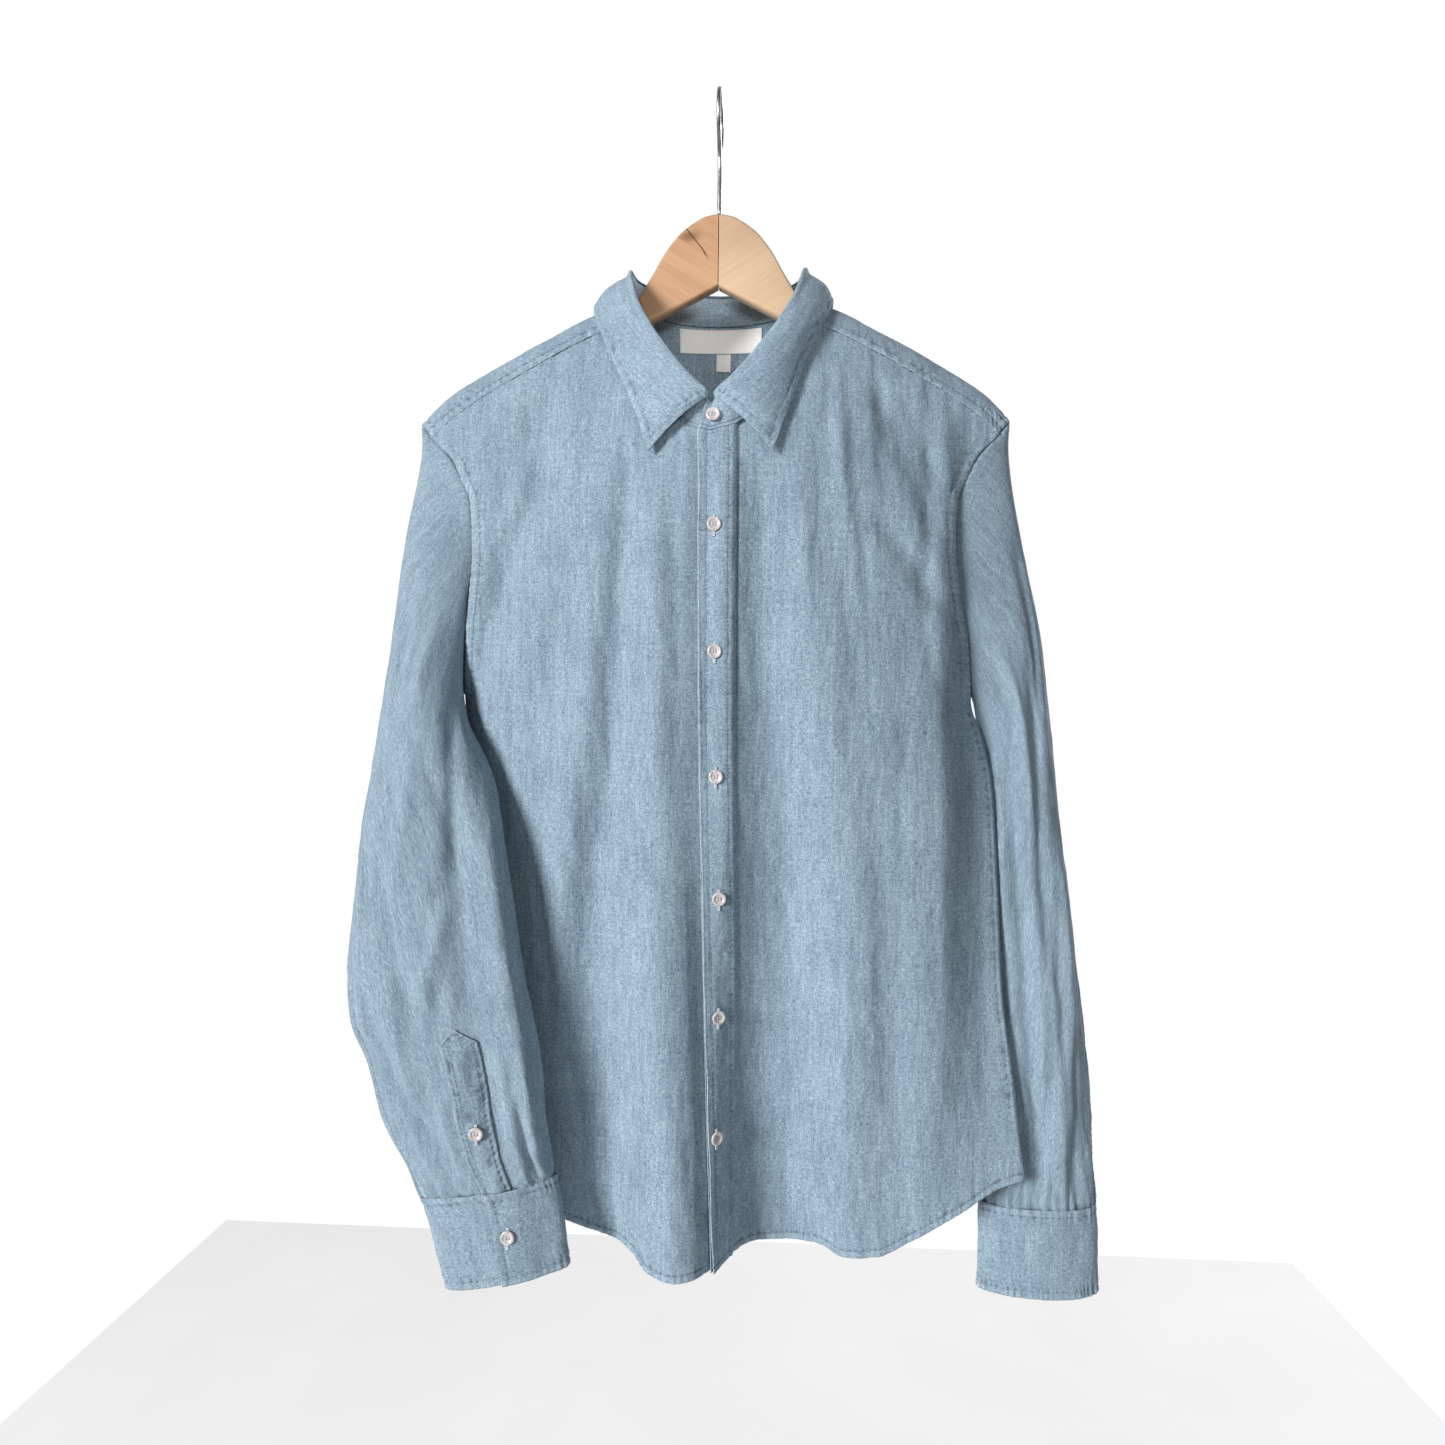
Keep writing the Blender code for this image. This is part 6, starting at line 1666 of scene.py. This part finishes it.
def pale_thread_look():
    return mottled("pale_thread", 0.75, (1300, 1300, 2600), (0.36, 0.40, 0.44), (0.66, 0.68, 0.70),
                   (0.5, 0.0003))


# Near-black for the buttons' holes: painted shade in place of holes that are not cut.
def hole_shade_look():
    return mottled("button_hole_shade", 0.6, (900, 900, 900), (0.05, 0.05, 0.06), (0.11, 0.11, 0.12))


def floor_look():
    return mottled("pale_floor", 0.9, (3, 3, 3), (0.80, 0.80, 0.79), (0.84, 0.84, 0.83), detail=3.0)


def button_look():
    """Pearly grey-pink: soft clouds and faint bands under a clear polish."""
    s = Surface("button_pearl", 0.3)
    place = s.object_place()
    cloud = s.noise(s.scaled(place, (420, 420, 260)), 1.0, 4.0, 0.6, 0.8)
    s.colour(s.ramp(cloud, ((0.28, (0.36, 0.33, 0.33)), (0.5, (0.52, 0.48, 0.475)),
                            (0.74, (0.68, 0.65, 0.64)))))
    s.relief(cloud, 0.08, 0.0004)
    s.shader.inputs["Coat Weight"].default_value = 0.4
    s.shader.inputs["Coat Roughness"].default_value = 0.15
    return s.material


def label_look():
    """White satin tape: close ribs across and a faint weave."""
    s = Surface("label_tape", 0.55)
    place = s.cloth_map()
    ribs = s.noise(s.scaled(place, (240, 3200, 1)), 1.0, 2.0)
    cloud = s.noise(s.scaled(place, (120, 120, 1)), 1.0, 2.0)
    ribbed = s.ramp(ribs, ((0.3, (0.80, 0.79, 0.775)), (0.7, (0.90, 0.89, 0.875))))
    s.colour(s.blend(s.spread(cloud, 0.3, 0.7, 0.0, 0.5), ribbed, (0.86, 0.85, 0.83)))
    s.relief(ribs, 0.3, 0.0002)
    s.shader.inputs["Sheen Weight"].default_value = 0.2
    return s.material


KNOT_PLACE = (-0.0215, -0.0055, -0.1085)      # in metres, on the darker arm's front


def wood(name, side, dark, middle, pale, knot=False):
    """Fine growth lines drawn out along the arm, with pores and a soft sheen.
    The darker half has a knot and a crack near its top."""
    s = Surface(name, 0.42)
    place = s.object_place()
    turned = s.scaled(place, (1, 1, 1), turn=(0, side * math.radians(33), 0))
    warped = s.noise(s.scaled(turned, (6, 40, 26)), 1.0, 3.0, 0.5, 0.4)
    lines = s.noise(s.scaled(turned, (9, 260, 300)), 1.0, 4.0, 0.6, 0.6)
    pores = s.noise(s.scaled(turned, (60, 1700, 1900)), 1.0, 2.0, 0.6)
    total = s.sums("ADD", s.sums("MULTIPLY", warped, 0.5),
                   s.sums("ADD", s.sums("MULTIPLY", lines, 0.38), s.sums("MULTIPLY", pores, 0.12)))
    colour = s.ramp(total, ((0.30, dark), (0.50, middle), (0.70, pale)))
    fleck = s.spread(pores, 0.63, 0.78, 0.0, 0.35)
    colour = s.blend(fleck, colour, tuple(0.55 * c for c in dark))
    height = lines
    if knot:
        centre = s.node("ShaderNodeVectorMath", operation="SUBTRACT")
        s.put(place, centre.inputs[0])
        centre.inputs[1].default_value = KNOT_PLACE
        squeezed = s.scaled(centre.outputs["Vector"], (1.0, 0.35, 1.9), turn=(0, math.radians(-38), 0))
        far = s.node("ShaderNodeVectorMath", operation="LENGTH")
        s.put(squeezed, far.inputs[0])
        uneven = s.sums("MULTIPLY", s.sums("SUBTRACT", lines, 0.5), 0.006)
        shade = s.spread(s.sums("ADD", far.outputs["Value"], uneven), 0.002, 0.0115, 0.75, 0.0)
        colour = s.blend(shade, colour, (0.16, 0.066, 0.026))
        axis = s.node("ShaderNodeSeparateXYZ")
        s.put(s.scaled(centre.outputs["Vector"], (1, 1, 1), turn=(0, math.radians(-52), 0)), axis.inputs[0])
        wave = s.sums("ADD", axis.outputs["Z"], s.sums("MULTIPLY", s.sums("SUBTRACT", warped, 0.5), 0.010))
        thin = s.spread(s.sums("ABSOLUTE", wave, 0.0), 0.00015, 0.0007, 1.0, 0.0)
        along = s.sums("ABSOLUTE", s.sums("ADD", axis.outputs["X"], -0.006), 0.0)
        near = s.spread(along, 0.010, 0.019, 1.0, 0.0)
        crack = s.sums("MULTIPLY", thin, near)
        colour = s.blend(crack, colour, (0.05, 0.022, 0.01))
        height = s.sums("SUBTRACT", lines, s.sums("MULTIPLY", crack, 2.0))
    s.colour(colour)
    s.put(s.spread(pores, 0.2, 0.8, 0.36, 0.52), s.shader.inputs["Roughness"])
    s.relief(height, 0.12, 0.0005)
    s.shader.inputs["Specular IOR Level"].default_value = 0.4
    return s.material


def steel_look():
    """Drawn wire: faint long scratches and a dull, slightly uneven shine."""
    s = Surface("steel_wire", 0.3, 1.0)
    place = s.object_place()
    drawn = s.noise(s.scaled(place, (2600, 900, 60)), 1.0, 3.0)
    cloud = s.noise(s.scaled(place, (90, 90, 90)), 1.0, 3.0)
    s.colour(s.ramp(cloud, ((0.3, (0.36, 0.36, 0.37)), (0.7, (0.62, 0.62, 0.63)))))
    s.put(s.spread(drawn, 0.25, 0.75, 0.22, 0.42), s.shader.inputs["Roughness"])
    s.relief(drawn, 0.1, 0.0002)
    return s.material


# ---- the studio: camera, floor and light ------------------------------------------------------
CAMERA_PLACE = (0.0473, -0.7285, -0.4744)
CAMERA_LENS = 24.02
SENSOR_WIDTH = 36.0
CAMERA_TURN = 3.2          # degrees to the viewer's left
CAMERA_ROLL = 0.0107       # radians
FLOOR_HALF = 0.9
FLOOR_Z = -1.35
SHIRT_MIDDLE = (0, 0, -0.5)
# name, place, width and power of the broad lamps
BROAD_LAMPS = (("key", (-4.3, -4.6, 0.7), 2.2, 590), ("fill", (1.5, -2.6, 0.2), 2.0, 16),
               ("back", (3.6, 4.2, 1.6), 2.2, 260))


def placed(side, up, back, place):
    """A matrix from three axes and a place."""
    matrix = np.eye(4)
    matrix[:3, :3] = np.stack([side, up, back], 1)
    matrix[:3, 3] = place
    return Matrix(matrix.tolist())


def lamp(kind, name, place, aim, power, **settings):
    """A lamp at a place that shines towards another."""
    light = bpy.data.lights.new(name, kind)
    light.energy = power
    for key, value in settings.items():
        setattr(light, key, value)
    thing = bpy.data.objects.new(name, light)
    toward = unit(np.array(aim, float) - np.array(place, float))
    side = unit(np.cross(toward, (0, 0, 1.0)))
    thing.matrix_world = placed(side, np.cross(side, toward), -toward, place)
    bpy.context.scene.collection.objects.link(thing)


def photo_camera():
    """The photograph's camera: level, turned a little and with a slight roll."""
    data = bpy.data.cameras.new("camera")
    data.lens = CAMERA_LENS
    data.sensor_width = SENSOR_WIDTH
    data.clip_start = 0.01
    data.clip_end = 100
    camera = bpy.data.objects.new("camera", data)
    turn = math.radians(CAMERA_TURN)
    ahead = np.array((-math.sin(turn), math.cos(turn), 0.0))
    right = np.array((math.cos(turn), math.sin(turn), 0.0))
    up = np.array((0.0, 0.0, 1.0))
    cos, sin = math.cos(CAMERA_ROLL), math.sin(CAMERA_ROLL)
    camera.matrix_world = placed(right * cos + up * sin, -right * sin + up * cos, -ahead, CAMERA_PLACE)
    bpy.context.scene.collection.objects.link(camera)
    bpy.context.scene.camera = camera


def white_surroundings():
    """A world that looks white all round, and shines more from behind the shirt
    than from in front of it."""
    world = bpy.data.worlds.new("studio")
    world.use_nodes = True
    nodes, links = world.node_tree.nodes, world.node_tree.links
    along = nodes.new("ShaderNodeSeparateXYZ")
    links.new(nodes.new("ShaderNodeTexCoord").outputs["Generated"], along.inputs[0])
    sweep = nodes.new("ShaderNodeMapRange")
    sweep.interpolation_type = "SMOOTHSTEP"
    for socket, value in (("From Min", -0.05), ("From Max", 0.65), ("To Min", 0.12), ("To Max", 0.7)):
        sweep.inputs[socket].default_value = value
    links.new(along.outputs["Y"], sweep.inputs["Value"])
    backdrop = nodes.new("ShaderNodeMix")
    backdrop.inputs["B"].default_value = 1.02
    links.new(nodes.new("ShaderNodeLightPath").outputs["Is Camera Ray"], backdrop.inputs["Factor"])
    links.new(sweep.outputs["Result"], backdrop.inputs["A"])
    background = nodes["Background"]
    background.inputs["Color"].default_value = (0.98, 0.99, 1.0, 1.0)
    links.new(backdrop.outputs["Result"], background.inputs["Strength"])
    bpy.context.scene.world = world
    bpy.context.scene.view_settings.view_transform = "Standard"


def studio():
    """The camera, a pale floor, white surroundings, one broad light from the
    viewer's left, a faint one from the right, a soft one behind, and a narrow one
    into the neck."""
    photo_camera()
    floor = bpy.data.meshes.new("floor")
    corners = [(a * FLOOR_HALF, b * FLOOR_HALF, FLOOR_Z) for a, b in ((-1, -1), (1, -1), (1, 1), (-1, 1))]
    floor.from_pydata(corners, [], [(0, 1, 2, 3)])
    floor.materials.append(floor_look())
    ground = bpy.data.objects.new("floor", floor)
    bpy.context.scene.collection.objects.link(ground)
    for name, place, wide, power in BROAD_LAMPS:
        lamp("AREA", name, place, SHIRT_MIDDLE, power, shape="DISK", size=wide)
    lamp("SPOT", "neck", (0.02, -1.0, -0.40), (0.0, 0.05, -0.166), 24,
         spot_size=math.radians(11), spot_blend=1.0, shadow_soft_size=0.08)
    white_surroundings()


# ---- making it ----------------------------------------------------------------------------------
studio()
cloth = chambray()
looks = {"button": button_look(), "hole": hole_shade_look(), "pale_thread": pale_thread_look()}
label = label_look()
tower_buttons = {}
cuff_buttons = {}
sleeves = {side: fine_sleeve(side) for side in (-1, +1)}

front_panel(-1, "right", cloth)
front_panel(+1, "left", cloth)
placket_strip(cloth)
back_panel(cloth)
yoke_piece(cloth)
neck_band(cloth)
folded_leaf(cloth)
for side, word in ((-1, "right"), (+1, "left")):
    sleeve_piece(side, word, cloth)
    tower_placket(side, word, cloth)
    cuff_band(side, word, cloth)
buttons(looks)
sewing_thread(sewing_thread_look())
inside_patch("neck_label", *LABEL, 0.45, label, 0.9)
inside_patch("size_tab", *SIZE_TAB, 0.35, label, 1.3)
wooden_arm(-1, "right", wood("wood_dark", -1, (0.36, 0.195, 0.105), (0.47, 0.275, 0.155),
                             (0.55, 0.335, 0.205), knot=True))
wooden_arm(+1, "left", wood("wood_light", +1, (0.43, 0.285, 0.178), (0.51, 0.350, 0.224),
                            (0.58, 0.415, 0.28)))
wire_hook(steel_look())
